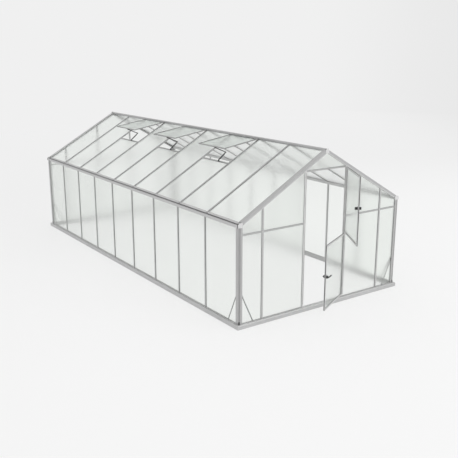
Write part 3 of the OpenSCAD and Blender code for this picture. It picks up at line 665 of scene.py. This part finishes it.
def on_top(height):
    """Picks the outer edges of a flat top at a height."""
    def wanted(edge):
        level = all(abs(v.co.z - height) < NEAR for v in edge.verts)
        return level and any(abs(face.normal.z) < 0.5 for face in edge.link_faces)
    return wanted


print("two heights are the same within", NEAR, "m")

# %% Shaping tools
def bevel_edges(piece, wanted, width, steps=1):
    """Takes the sharpness off the wanted edges."""
    choose(piece, "EDGE", wanted)
    bpy.ops.mesh.bevel(offset=width, offset_type="OFFSET", segments=steps, affect="EDGES")
    bpy.ops.object.mode_set(mode="OBJECT")


def pull(move):
    """Extrudes what is chosen by a move."""
    bpy.ops.mesh.extrude_region_move(TRANSFORM_OT_translate={"value": move})


def sink(piece, direction, rim, depth):
    """Leaves a rim round the faces that look one way and pushes the rest in."""
    choose(piece, "FACE", facing(direction))
    bpy.ops.mesh.inset(thickness=rim)
    pull(Vector(direction) * -depth)
    bpy.ops.object.mode_set(mode="OBJECT")


FINE_ROUND = 0.0004
sample = block("sample", (0, 0, 0), (0.03, 0.02, 0.01))
bevel_edges(sample, on_top(0.01), FINE_ROUND)
print("a block with its top beveled has", len(sample.data.polygons), "faces")
bpy.data.objects.remove(sample)


# %% Setting the copies out
def set_out(name, copies, finish, body="house"):
    """Joins copies of the given parts, each at its own places, into one piece."""
    bpy.ops.object.select_all(action="DESELECT")
    for part, places in copies:
        for place in places:
            copy = part.copy()
            copy.data = part.data.copy()
            copy.data.transform(place)
            bpy.context.scene.collection.objects.link(copy)
            copy.select_set(True)
            bpy.context.view_layer.objects.active = copy
    bpy.ops.object.join()
    made = bpy.context.view_layer.objects.active
    made.name = made.data.name = name
    made.data.materials.clear()
    made.data.materials.append(finish)
    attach(made, body)
    print(name, len(made.data.polygons), "faces")


def put_away(*parts):
    """Removes the parts that were only there to be copied."""
    for part in parts:
        bpy.data.objects.remove(part)

# %% [markdown]
# ## Gaskets
#
# A strip of dark rubber runs round every sheet, pressed between it and the cap strips. Only a
# thin line of it shows, and it makes each bay read as a framed pane. A flat piece is cut to
# the panel's outline, inset, emptied in the middle and pulled up into a ring. The wall's seven
# bays share one ring, and the short bays at its ends share another.

# %% Gasket rings
LIP, LIP_UP = 0.0015, 0.0015
roof_line = RIDGE_H - FLANGE / COS


def ring(name, low, high, roof_cuts=()):
    """A ring of rubber inside a panel from low to high, cut to the roof where it has to be."""
    bpy.ops.object.select_all(action="DESELECT")
    centre = ((low[0] + high[0]) / 2, (low[1] + high[1]) / 2, 0)
    bpy.ops.mesh.primitive_plane_add(size=1, location=centre)
    bpy.context.object.scale = (high[0] - low[0], high[1] - low[1], 1)
    made = blank(name)
    bpy.ops.object.mode_set(mode="EDIT")
    for sign in roof_cuts:
        bpy.ops.mesh.select_all(action="SELECT")
        bpy.ops.mesh.bisect(plane_co=(0, roof_line, 0), plane_no=(sign * SIN, COS, 0), clear_outer=True)
    bpy.ops.mesh.select_all(action="SELECT")
    bpy.ops.mesh.inset(thickness=LIP)
    bpy.ops.mesh.delete(type="FACE")
    bpy.ops.mesh.select_all(action="SELECT")
    pull((0, 0, LIP_UP))
    bpy.ops.mesh.select_all(action="SELECT")
    bpy.ops.mesh.normals_make_consistent(inside=False)
    bpy.ops.object.mode_set(mode="OBJECT")
    bevel_edges(made, on_top(LIP_UP), LIP_UP / 4)
    return made


print("gaskets show", 1000 * LIP, "mm wide")

# %% Wall gaskets
bays = [(FRAMES[i] + BAR / 2 - LENGTH / 2, FRAMES[i + 1] - BAR / 2 - LENGTH / 2) for i in range(BAYS)]
bay_w = bays[0][1] - bays[0][0]
middles = [(a + b) / 2 for a, b in bays]
wall_end = (POST - LENGTH / 2, FRAMES[0] - BAR / 2 - LENGTH / 2)
wall_ring = ring("wall_ring", (-bay_w / 2, SILL_TOP), (bay_w / 2, GUTTER_Z))
end_ring = ring("end_ring", (wall_end[0], SILL_TOP), (wall_end[1], GUTTER_Z))
far_end = -(wall_end[0] + wall_end[1])
wall_copies = [(wall_ring, on_sides(WALLS, middles, -CAP)),
               (end_ring, on_sides(WALLS, (0, far_end), -CAP))]
set_out("wall_gaskets", wall_copies, gasket_rubber)
put_away(wall_ring, end_ring)

# %% Roof gaskets
RIDGE_EDGE = 0.0235
SHEET_FOOT, CLOSER = 1.7041, 0.014
VENT_BAYS = (1, 3, 5)
VENT_SILL_END = 0.699
GABLE_CAP = 0.060
roof_foot = -(SHEET_FOOT - CLOSER)
roof_end = (GABLE_CAP - LENGTH / 2, wall_end[1])
far_end = -(roof_end[0] + roof_end[1])
long_ring = ring("long_ring", (-bay_w / 2, roof_foot), (bay_w / 2, -RIDGE_EDGE))
short_ring = ring("short_ring", (-bay_w / 2, roof_foot), (bay_w / 2, -VENT_SILL_END))
end_ring = ring("end_ring", (roof_end[0], roof_foot), (roof_end[1], -RIDGE_EDGE))
vented = [middles[i] for i in VENT_BAYS]
plain_bays = [m for m in middles if m not in vented]
long_places = on_sides([RIGHT_SLOPE], middles, -CAP) + on_sides([LEFT_SLOPE], plain_bays, -CAP)
roof_copies = [(long_ring, long_places), (short_ring, on_sides([LEFT_SLOPE], vented, -CAP)),
               (end_ring, on_sides(SLOPES, (0, far_end), -CAP))]
set_out("roof_gaskets", roof_copies, gasket_rubber)
put_away(long_ring, short_ring, end_ring)

# %% Gable gaskets
rail_low, rail_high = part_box("gable_rails_front")
stud_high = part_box("gable_studs_front")[1][0]
jamb_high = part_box("door_jambs")[1]
HEADER_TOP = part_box("door_header")[1][2]
stud_out, stud_in = stud_high, stud_high - BAR
door_out, door_in = jamb_high[0], jamb_high[0] - BAR
post_in = HALF_W - POST
low_rows, high_rows = (SILL_TOP, rail_low[2]), (rail_high[2], RIDGE_H)
panels = []
for sign in (-1, 1):
    for inner, outer in ((door_out, stud_in), (stud_out, post_in)):
        left, right = sorted((sign * inner, sign * outer))
        panels.append(ring("panel", (left, low_rows[0]), (right, low_rows[1])))
        panels.append(ring("panel", (left, high_rows[0]), (right, high_rows[1]), (sign,)))
front_only = ring("panel", (-door_in, HEADER_TOP), (door_in, RIDGE_H), (-1, 1))
rear_only = [ring("panel", (-door_in, low_rows[0]), (door_in, low_rows[1])),
             ring("panel", (-door_in, high_rows[0]), (door_in, high_rows[1]), (-1, 1))]
gable_places = on_sides(GABLES, [0], -CAP)
gable_copies = [(panel, gable_places) for panel in panels]
gable_copies += [(front_only, gable_places[:1])] + [(panel, gable_places[1:]) for panel in rear_only]
set_out("gable_gaskets", gable_copies, gasket_rubber)
put_away(front_only, *panels, *rear_only)

# %% [markdown]
# ## Closing strips
#
# The hollow sheets of the roof would fill with water and dust at their feet, so a thin metal
# channel closes them. A block is hollowed from its upper side to make the channel. A thin drip
# lip runs on from it into the gutter.

# %% Closing strips
STRIP_WALL, NOSE = 0.0012, 0.018


def closing_strip(name, left, right):
    """A channel over the foot of one roof sheet."""
    low = (left, -SHEET_FOOT - STRIP_WALL, -CAP - SHEET - STRIP_WALL)
    made = block(name, low, (right, roof_foot, -CAP + STRIP_WALL))
    sink(made, (0, 1, 0), STRIP_WALL, CLOSER - STRIP_WALL)
    bevel_edges(made, on_top(-CAP + STRIP_WALL), FINE_ROUND)
    return made


def drip_nose(name, left, right):
    """A thin lip that carries the rain from the strip into the gutter."""
    made = block(name, (left, -SHEET_FOOT - NOSE, -CAP), (right, -SHEET_FOOT, -CAP + STRIP_WALL))
    bevel_edges(made, on_top(-CAP + STRIP_WALL), STRIP_WALL / 4)
    return made


inner_strip = closing_strip("inner_strip", -bay_w / 2, bay_w / 2)
end_strip = closing_strip("end_strip", *roof_end)
inner_nose = drip_nose("inner_nose", -bay_w / 2, bay_w / 2)
end_nose = drip_nose("end_nose", *roof_end)
inner_places, end_places = on_sides(SLOPES, middles), on_sides(SLOPES, (0, far_end))
strip_copies = [(inner_strip, inner_places), (inner_nose, inner_places)]
strip_copies += [(end_strip, end_places), (end_nose, end_places)]
set_out("eave_closing_strips", strip_copies, alu_gutter)
put_away(inner_strip, end_strip, inner_nose, end_nose)

# %% [markdown]
# ## Beads on the gable rafters
#
# A pale plastic bead closes the lower edge of each gable rafter against the sheets. It is a
# thin block with rounded edges, drawn along the slope and turned to it.

# %% Gable beads
BEAD_W, BEAD_UP, BEAD_ROUND = 0.013, 0.0015, 0.0005
bead_start, bead_end = 0.050, 1.665
bead = block("bead", (bead_start, -FLANGE, 0), (bead_end, -FLANGE + BEAD_W, BEAD_UP))
bevel_edges(bead, on_top(BEAD_UP), BEAD_ROUND)
down_right = Matrix.Rotation(-SLOPE_ANGLE, 4, "Z")
down_left = Matrix.Rotation(SLOPE_ANGLE, 4, "Z") @ across(-bead_start - bead_end)
bead_places = [gable @ across(y=RIDGE_H) @ turn for gable in GABLES for turn in (down_right, down_left)]
set_out("gable_beads", [(bead, bead_places)], bead_plastic)
put_away(bead)

# %% [markdown]
# ## Screws in the cap strips
#
# The cap strips are held down by small round screws about 30 cm apart. One screw is made from
# a rod: its top edge is beveled and a socket is pushed into it.

# %% A screw and its rows
SCREW_R, SCREW_UP, SCREW_GAP = 0.0036, 0.0016, 0.30
RIM_SHARE, ROUND_SHARE = 0.45, 0.35


def screw_head(name, radius, height, sides):
    """A screw's head standing on z = 0, with a socket in its top."""
    made = rod(name, radius, (0, 0, 0), (0, 0, height), sides)
    sink(made, (0, 0, 1), radius * RIM_SHARE, height / 2)

    def outer_rim(edge):
        return all(abs(v.co.z - height) < NEAR and v.co.xy.length > radius * 0.9 for v in edge.verts)

    bevel_edges(made, outer_rim, height * ROUND_SHARE)
    return made


def rows(start, end):
    """Screw places from start to end, evenly apart."""
    count = max(2, round(abs(end - start) / SCREW_GAP) + 1)
    return [start + i * (end - start) / (count - 1) for i in range(count)]


screw = screw_head("screw", SCREW_R, SCREW_UP, sides=10)
print("screw head", 2000 * SCREW_R, "mm wide")

# %% Screws in the walls and the roof
ABOVE_SILL, BELOW_GUTTER, ABOVE_EAVE = 0.06, 0.06, 0.04
BELOW_RIDGE, BELOW_VENT = 0.12, 0.78
wall_rows = rows(SILL_TOP + ABOVE_SILL, GUTTER_Z - BELOW_GUTTER)
screw_places = [wall @ across(y - LENGTH / 2, h) for wall in WALLS for y in FRAMES for h in wall_rows]
set_out("wall_screws", [(screw, screw_places)], screw_metal)
long_rows = rows(-BELOW_RIDGE, roof_foot + ABOVE_EAVE)
short_rows = rows(-BELOW_VENT, roof_foot + ABOVE_EAVE)
screw_places = [RIGHT_SLOPE @ across(y - LENGTH / 2, h) for y in FRAMES for h in long_rows]
for i, y in enumerate(FRAMES):
    clear_rows = long_rows if i in (0, BAYS) else short_rows
    screw_places += [LEFT_SLOPE @ across(y - LENGTH / 2, h) for h in clear_rows]
set_out("roof_screws", [(screw, screw_places)], screw_metal)

# %% Screws in the gables
BELOW_RAFTER = 0.09
stud_rows = rows(SILL_TOP + ABOVE_SILL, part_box("gable_studs_front")[1][2] - BELOW_RAFTER)
jamb_rows = rows(SILL_TOP + ABOVE_SILL, jamb_high[2] - BELOW_RAFTER)
studs_at = [(sign * (stud_in + BAR / 2), stud_rows) for sign in (-1, 1)]
studs_at += [(sign * (door_in + BAR / 2), jamb_rows) for sign in (-1, 1)]
screw_places = [gable @ across(x, h) for gable in GABLES for x, hs in studs_at for h in hs]
set_out("gable_screws", [(screw, screw_places)], screw_metal)

# %% [markdown]
# ## Corner strips and feet of the posts
#
# A rebate runs down the outer corner of every post. A grey rubber strip lies in it, and a dark
# foot closes its lower end: in part a moulded foot, in part painted shade where the post meets
# the base. The strip is a block with a channel pushed into its face, so it catches a line of shade.

# %% Corner strips
REBATE, REBATE_DEEP, REBATE_PLAY = 0.028, 0.010, 0.0008
STRIP_FACE, STRIP_RIM, STRIP_GROOVE, STRIP_ROUND = -0.0035, 0.006, 0.003, 0.0008
FOOT_UP, FOOT_FACE, FOOT_ROUND = 0.038, 0.0012, 0.002
half_strip = REBATE / 2 - REBATE_PLAY
foot_top = BASE_TOP + FOOT_UP
strip = block("strip", (-half_strip, foot_top, -REBATE_DEEP), (half_strip, GUTTER_Z, STRIP_FACE))
sink(strip, (0, 0, 1), STRIP_RIM, STRIP_GROOVE)
bevel_edges(strip, on_top(STRIP_FACE), STRIP_ROUND)
# The dark foot is in part a moulded part and in part painted shade where the post meets the base.
foot = block("foot", (-half_strip, BASE_TOP, -REBATE_DEEP), (half_strip, foot_top, FOOT_FACE))
bevel_edges(foot, lambda edge: all(v.co.z > 0 for v in edge.verts), FOOT_ROUND, steps=2)
corners = on_sides(GABLES, (REBATE / 2 - HALF_W, HALF_W - REBATE / 2))
set_out("post_corner_strips", [(strip, corners)], grey_rubber)
set_out("post_feet_and_shade", [(foot, corners)], gasket_rubber)
put_away(strip, foot)

# %% [markdown]
# ## Shade beside the end caps
#
# Behind each pale end cap a dark block fills the gap to the gutter or the ridge. It is painted
# shade: it stands in for the shadow in that gap, the small dark notch beside every cap.

# %% Shade blocks beside the end caps
GUTTER_OUT, GUTTER_UP, GUTTER_LAP = 0.012, 0.042, 0.004
PROUD, SHADE_BLOCK_BACK, SHADE_BLOCK_GAP, SHADE_BLOCK_ROUND = 0.0012, 0.013, 0.0002, 0.001
RIDGE_HALF, RIDGE_DROP, RIDGE_BACK, RIDGE_ROUND = 0.0185, 0.008, 0.0158, 0.006
shade_block_top = RIDGE_TOP - 0.001


def end_to_end(edge):
    """Picks the edges that run from one end of a shade block to the other."""
    return abs(edge.verts[0].co.z - edge.verts[1].co.z) > 0.005


def upper_end_to_end(edge):
    """Picks those of them that lie on the block's top."""
    return end_to_end(edge) and all(abs(v.co.y - shade_block_top) < NEAR for v in edge.verts)


# Painted shade: these dark blocks stand in for the shadow in the gap behind each end cap.
gutter_shade_block = block("gutter_shade_block", (-HALF_W - GUTTER_OUT - PROUD, GUTTER_Z - PROUD, -SHADE_BLOCK_BACK),
                    (-HALF_W + GUTTER_LAP, GUTTER_Z + GUTTER_UP + PROUD, -SHADE_BLOCK_GAP))
bevel_edges(gutter_shade_block, end_to_end, SHADE_BLOCK_ROUND)
ridge_shade_block = block("ridge_shade_block", (-RIDGE_HALF, RIDGE_H - RIDGE_DROP, -RIDGE_BACK),
                   (RIDGE_HALF, shade_block_top, -SHADE_BLOCK_GAP))
bevel_edges(ridge_shade_block, upper_end_to_end, RIDGE_ROUND)
far_gutter = 2 * HALF_W + GUTTER_OUT + PROUD - GUTTER_LAP
shade_block_copies = [(gutter_shade_block, on_sides(GABLES, (0, far_gutter))), (ridge_shade_block, GABLES)]
set_out("cap_shade_blocks", shade_block_copies, black_rubber_and_painted_shade)
put_away(gutter_shade_block, ridge_shade_block)

# %% [markdown]
# ## Roof vents
#
# Each vent has a gasket on both faces of its sheet, a rubber seal under its rim that closes
# on the roof, and a hinge barrel along the ridge. They are drawn on the vent
# lying flat and then stood on it as it is, open.

# %% Gaskets of the vents
VENT_OPEN, VENT_GAP, VENT_LIFT = math.radians(20.6), 0.004, 0.0003
VENT_HINGE, VENT_LEN = 0.030, 0.650
VENT_T, VENT_BAR, VENT_FOOT, VENT_SHEET = 0.012, 0.018, 0.020, 0.004
half_vent = (bay_w + BAR) / 2 - VENT_GAP
opened = Matrix.Rotation(-VENT_OPEN, 4, "X")
vents = [LEFT_SLOPE @ across(middle, -VENT_HINGE, VENT_LIFT) @ opened for middle in vented]
vent_low = (-half_vent + VENT_BAR, -VENT_LEN + VENT_FOOT)
vent_high = (half_vent - VENT_BAR, -VENT_BAR)
vent_ring = ring("vent_ring", vent_low, vent_high)
sheet_top = (VENT_T + VENT_SHEET) / 2
ring_heights = (sheet_top, sheet_top - VENT_SHEET - LIP_UP)
ring_places = [vent @ across(z=z) for vent in vents for z in ring_heights]
set_out("vent_gaskets", [(vent_ring, ring_places)], gasket_rubber)
put_away(vent_ring)

# %% Rim seals and hinges of the vents
RIM_SEAL, RIM_DEEP, RIM_TOP = 0.005, 0.002, 0.030
rim = block("rim", (-half_vent, -VENT_LEN, -RIM_DEEP), (half_vent, -RIM_TOP, 0))
choose(rim, "FACE", lambda face: abs(face.normal.z) > SAME_WAY)
bpy.ops.mesh.inset(thickness=RIM_SEAL)
bpy.ops.mesh.bridge_edge_loops()
bpy.ops.object.mode_set(mode="OBJECT")
bevel_edges(rim, on_top(-RIM_DEEP), RIM_DEEP / 2)
set_out("vent_rim_seals", [(rim, vents)], black_rubber_and_painted_shade)
BARREL_R, BARREL_Y, BARREL_ROUND = 0.0045, 0.001, 0.0008
barrel = rod("barrel", BARREL_R, (-half_vent, BARREL_Y, VENT_T), (half_vent, BARREL_Y, VENT_T))
bevel_edges(barrel, lambda edge: abs(edge.verts[0].co.x - edge.verts[1].co.x) < NEAR, BARREL_ROUND)
set_out("vent_hinges", [(barrel, vents)], alu_along)
put_away(rim, barrel)

# %% [markdown]
# ## Openers
#
# A cylinder of wax pushes each vent open when it gets warm. It lies along the opener's lower
# link, with a collar at its mouth and a thin piston rod.

# %% Openers
OPENER_SHARE, LINK_T, TILT = 0.36, 0.005, math.radians(9)
FOOT_IN, FOOT_HEIGHT = 0.012, 0.014
TUBE_R, TUBE_FROM, TUBE_TO, TUBE_BESIDE = 0.006, 0.020, 0.135, 0.0065
COLLAR_IN, COLLAR_LEN, PISTON_IN, PISTON_LEN = 0.0015, 0.012, 0.0025, 0.030
pitch = bay_w + BAR
foot_at = Vector((0, -(VENT_SILL_END - FOOT_IN), FOOT_HEIGHT))
reach = Vector((0, math.cos(TILT), math.sin(TILT)))
beside = Vector((LINK_T + TUBE_BESIDE, 0, 0))
tube_start = foot_at + beside + TUBE_FROM * reach
tube = rod("tube", TUBE_R, tube_start, foot_at + beside + TUBE_TO * reach, sides=20)
choose(tube, "FACE", facing(reach))
for inwards, onwards in ((COLLAR_IN, COLLAR_LEN), (PISTON_IN, PISTON_LEN)):
    bpy.ops.mesh.inset(thickness=inwards)
    pull(onwards * reach)
bpy.ops.object.mode_set(mode="OBJECT")
opener_places = on_sides([LEFT_SLOPE], [m + pitch / 2 - OPENER_SHARE * pitch for m in vented])
set_out("opener_cylinders", [(tube, opener_places)], black_paint)
put_away(tube)

# %% [markdown]
# ## Door seals and strike plates
#
# A pale brush seal lies along both jambs and under the header, where the leaves close. On the
# jamb away from the hinges sit two strike plates, one for each leaf's latch.

# %% Brush seals
BRUSH_W, BRUSH_UP, BRUSH_ROUND = 0.004, 0.0065, 0.001
BRUSH_SIDE, BRUSH_DROP, BRUSH_SHORT = 0.003, 0.019, 0.012
leaf_foot, leaf_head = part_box("lower_leaf_frame")[0][2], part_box("upper_leaf_frame")[1][2]
upright_brush = block("upright_brush", (-BRUSH_W / 2, leaf_foot, 0),
                      (BRUSH_W / 2, leaf_head - BRUSH_SHORT, BRUSH_UP))
bevel_edges(upright_brush, on_top(BRUSH_UP), BRUSH_ROUND)
brush_at = door_in + BRUSH_SIDE
header_brush = block("header_brush", (-door_in, HEADER_TOP - BRUSH_DROP, 0),
                     (door_in, HEADER_TOP - BRUSH_DROP + BRUSH_W, BRUSH_UP))
bevel_edges(header_brush, on_top(BRUSH_UP), BRUSH_ROUND)
brush_copies = [(upright_brush, on_sides([FRONT], (-brush_at, brush_at))), (header_brush, [FRONT])]
set_out("door_brushes", brush_copies, brush_pile)
put_away(upright_brush, header_brush)

# %% Strike plates
PLATE_W, PLATE_H, PLATE_T, PLATE_SIDE = 0.016, 0.090, 0.0015, 0.004
PLATE_RIM, PLATE_SUNK = 0.004, 0.001
handle_heights = [joints[name]["pos_m"][2] for name in ("lower_handle_turn", "upper_handle_turn")]
plate = block("plate", (-PLATE_W / 2, -PLATE_H / 2, 0), (PLATE_W / 2, PLATE_H / 2, PLATE_T))
sink(plate, (0, 0, 1), PLATE_RIM, PLATE_SUNK)
bevel_edges(plate, on_top(PLATE_T), FINE_ROUND)
plate_at = -(door_in + BAR / 2 + PLATE_SIDE)
plate_places = [FRONT @ across(plate_at, h) for h in handle_heights]
set_out("strike_plates", [(plate, plate_places)], alu_doorway)
put_away(plate)

# %% [markdown]
# ## Trim on the door leaves
#
# Each leaf carries a gasket on both faces of its sheet, a dark seal along its free edge and its
# head, a plate with two screws at each hinge, and a screw at each corner. They are drawn on the
# closed leaf, with its hinge pin as the origin, and turned with it to the angle at which it
# stands.

# %% Edge seals of a leaf
SEAL_UP, SEAL_OUT, SEAL_IN, SEAL_SHORT = 0.0012, 0.0025, 0.0115, 0.003
GROOVE_RIM, GROOVE_DEEP = 0.002, 0.0005


def leaf_seals(leaf, body, left, right, foot_z, head_z):
    """The dark seal along the free edge of one leaf and over its head."""
    free = block("free", (left - SEAL_UP, foot_z + SEAL_SHORT, -SEAL_IN),
                 (left, head_z - SEAL_SHORT, -SEAL_OUT))
    sink(free, (-1, 0, 0), GROOVE_RIM, GROOVE_DEEP)
    top = block("top", (left + SEAL_SHORT, head_z, -SEAL_IN),
                (right - SEAL_SHORT, head_z + SEAL_UP, -SEAL_OUT))
    sink(top, (0, 1, 0), GROOVE_RIM, GROOVE_DEEP)
    set_out(body + "_edge_seals", [(free, [leaf]), (top, [leaf])], black_rubber_and_painted_shade, body)
    put_away(free, top)


print("edge seals stand", 1000 * SEAL_UP, "mm proud")

# %% Leaf trim
LEAF_T, LEAF_BAR, LEAF_REACH, LEAF_W = 0.018, 0.024, 0.006, 0.756
KNUCKLE, HINGE_INSET = 0.034, 0.130
HINGE_PLATE_W, HINGE_PLATE_T = 0.030, 0.0015
SCREW_IN, SCREW_APART = 0.020, 0.010
hinge_plate = block("hinge_plate", (-HINGE_PLATE_W, -KNUCKLE / 2, 0),
                    (-LEAF_REACH, KNUCKLE / 2, HINGE_PLATE_T))
bevel_edges(hinge_plate, on_top(HINGE_PLATE_T), FINE_ROUND)


def leaf_trim(which):
    """Gaskets, hinge plates, screws and edge seals of one leaf."""
    pin = Vector(joints[which + "_leaf_swing"]["pos_m"])
    turn = Matrix.Rotation(leaf_opening(which), 4, "Z")
    leaf = Matrix.Translation((pin.x, pin.y, 0)) @ turn @ side((0, 0, 0), (0, 0, 1), (0, -1, 0))
    low_corner, high_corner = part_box(which + "_leaf_frame")
    foot_z, head_z = low_corner[2], high_corner[2]
    left, right = -LEAF_REACH - LEAF_W, -LEAF_REACH
    body = which + "_leaf"
    pane = ring("pane", (left + LEAF_BAR, foot_z + LEAF_BAR), (right - LEAF_BAR, head_z - LEAF_BAR))
    faces = [leaf @ across(z=-(LEAF_T - SHEET) / 2), leaf @ across(z=-(LEAF_T + SHEET) / 2 - LIP_UP)]
    set_out(body + "_gaskets", [(pane, faces)], gasket_rubber, body)
    put_away(pane)
    hinges = [foot_z + HINGE_INSET + KNUCKLE / 2, head_z - HINGE_INSET + KNUCKLE / 2]
    plates = [leaf @ across(y=h) for h in hinges]
    set_out(body + "_hinge_plates", [(hinge_plate, plates)], alu_any, body)
    screws = [leaf @ across(-SCREW_IN, h + up, HINGE_PLATE_T)
              for h in hinges for up in (-SCREW_APART, SCREW_APART)]
    screws += [leaf @ across(x, h) for x in (left + LEAF_BAR / 2, right - LEAF_BAR / 2)
               for h in (foot_z + LEAF_BAR / 2, head_z - LEAF_BAR / 2)]
    set_out(body + "_screws", [(screw, screws)], screw_metal, body)
    leaf_seals(leaf, body, left, right, foot_z, head_z)


leaf_trim("lower")
leaf_trim("upper")
put_away(hinge_plate, screw)

# %% [markdown]
# ## Bolts of the corner braces
#
# Each brace is bolted to the post and to the sill. The bolt's head is a six-sided rod with a
# beveled top, on the inside of the wall.

# %% Brace bolts
BRACE_UP, BRACE_ALONG, BRACE_FACE = 0.430, 0.200, 0.0125
BOLT_R, BOLT_UP, BOLT_IN = 0.0055, 0.004, 0.012
FROM_TOP, FROM_TIP = 0.034, 0.016
bolt = screw_head("bolt", BOLT_R, BOLT_UP, sides=6)
turned = Matrix.Rotation(math.pi, 4, "Y")
on_post = (POST + BOLT_IN, SILL_TOP + BRACE_UP - FROM_TOP)
on_sill = (POST + BRACE_ALONG - FROM_TIP, SILL_TOP + BOLT_IN)
bolt_places = []
for wall, half in ((FRONT, HALF_W), (REAR, HALF_W), (LEFT, LENGTH / 2), (RIGHT, LENGTH / 2)):
    for sign in (-1, 1):
        bolt_places += [wall @ across(sign * (half - x), h, -BRACE_FACE) @ turned
                        for x, h in (on_post, on_sill)]
set_out("brace_bolts", [(bolt, bolt_places)], screw_metal)
put_away(bolt)

# %% [markdown]
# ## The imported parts
#
# The exact parts keep their shapes. Each only gets its finish, with the drawn lines running along
# its own length.

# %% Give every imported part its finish
FINISH = {
    alu_up: ["corner_post_front_left", "corner_post_front_right", "corner_post_rear_left",
             "corner_post_rear_right", "wall_studs_left", "wall_studs_right"],
    alu_gable_up: ["gable_studs_front", "gable_studs_rear"],
    alu_doorway: ["door_jambs", "hinge_post"],
    alu_gutter: ["eave_gutter_left", "eave_gutter_right"],
    alu_along: ["ridge_beam", "vent_sill_bars"],
    alu_across: ["gable_rails_front", "gable_rails_rear", "door_header"],
    alu_slope: ["rafters_left", "rafters_right", "gable_rafters_front", "gable_rafters_rear"],
    alu_leaf: ["lower_leaf_frame", "upper_leaf_frame"],
    alu_vent: ["vent_frames"],
    alu_brace: ["corner_braces"],
    sill_metal: ["sill_profiles"],
    base_along: ["base_rail_left", "base_rail_right"],
    base_across: ["base_rail_front", "base_rail_rear"],
    sheet_wall: ["wall_sheets_left", "wall_sheets_right"],
    sheet_roof: ["roof_sheets_left", "roof_sheets_right"],
    sheet_vent: ["vent_sheets"],
    sheet_gable: ["gable_sheets_front", "gable_sheets_rear"],
    sheet_lower: ["lower_leaf_sheet"],
    sheet_upper: ["upper_leaf_sheet"],
    cap_plastic: ["end_caps"],
    black_plastic: ["lower_leaf_roses", "lower_leaf_handle", "upper_leaf_roses", "upper_leaf_handle"],
    black_paint: ["vent_openers"],
}
for finish, names in FINISH.items():
    for name in names:
        mesh = frame["nodes"][name].data
        mesh.materials.clear()
        mesh.materials.append(finish)
bare = set(frame["nodes"]) - {n for names in FINISH.values() for n in names}
print("parts with no finish:", sorted(bare))
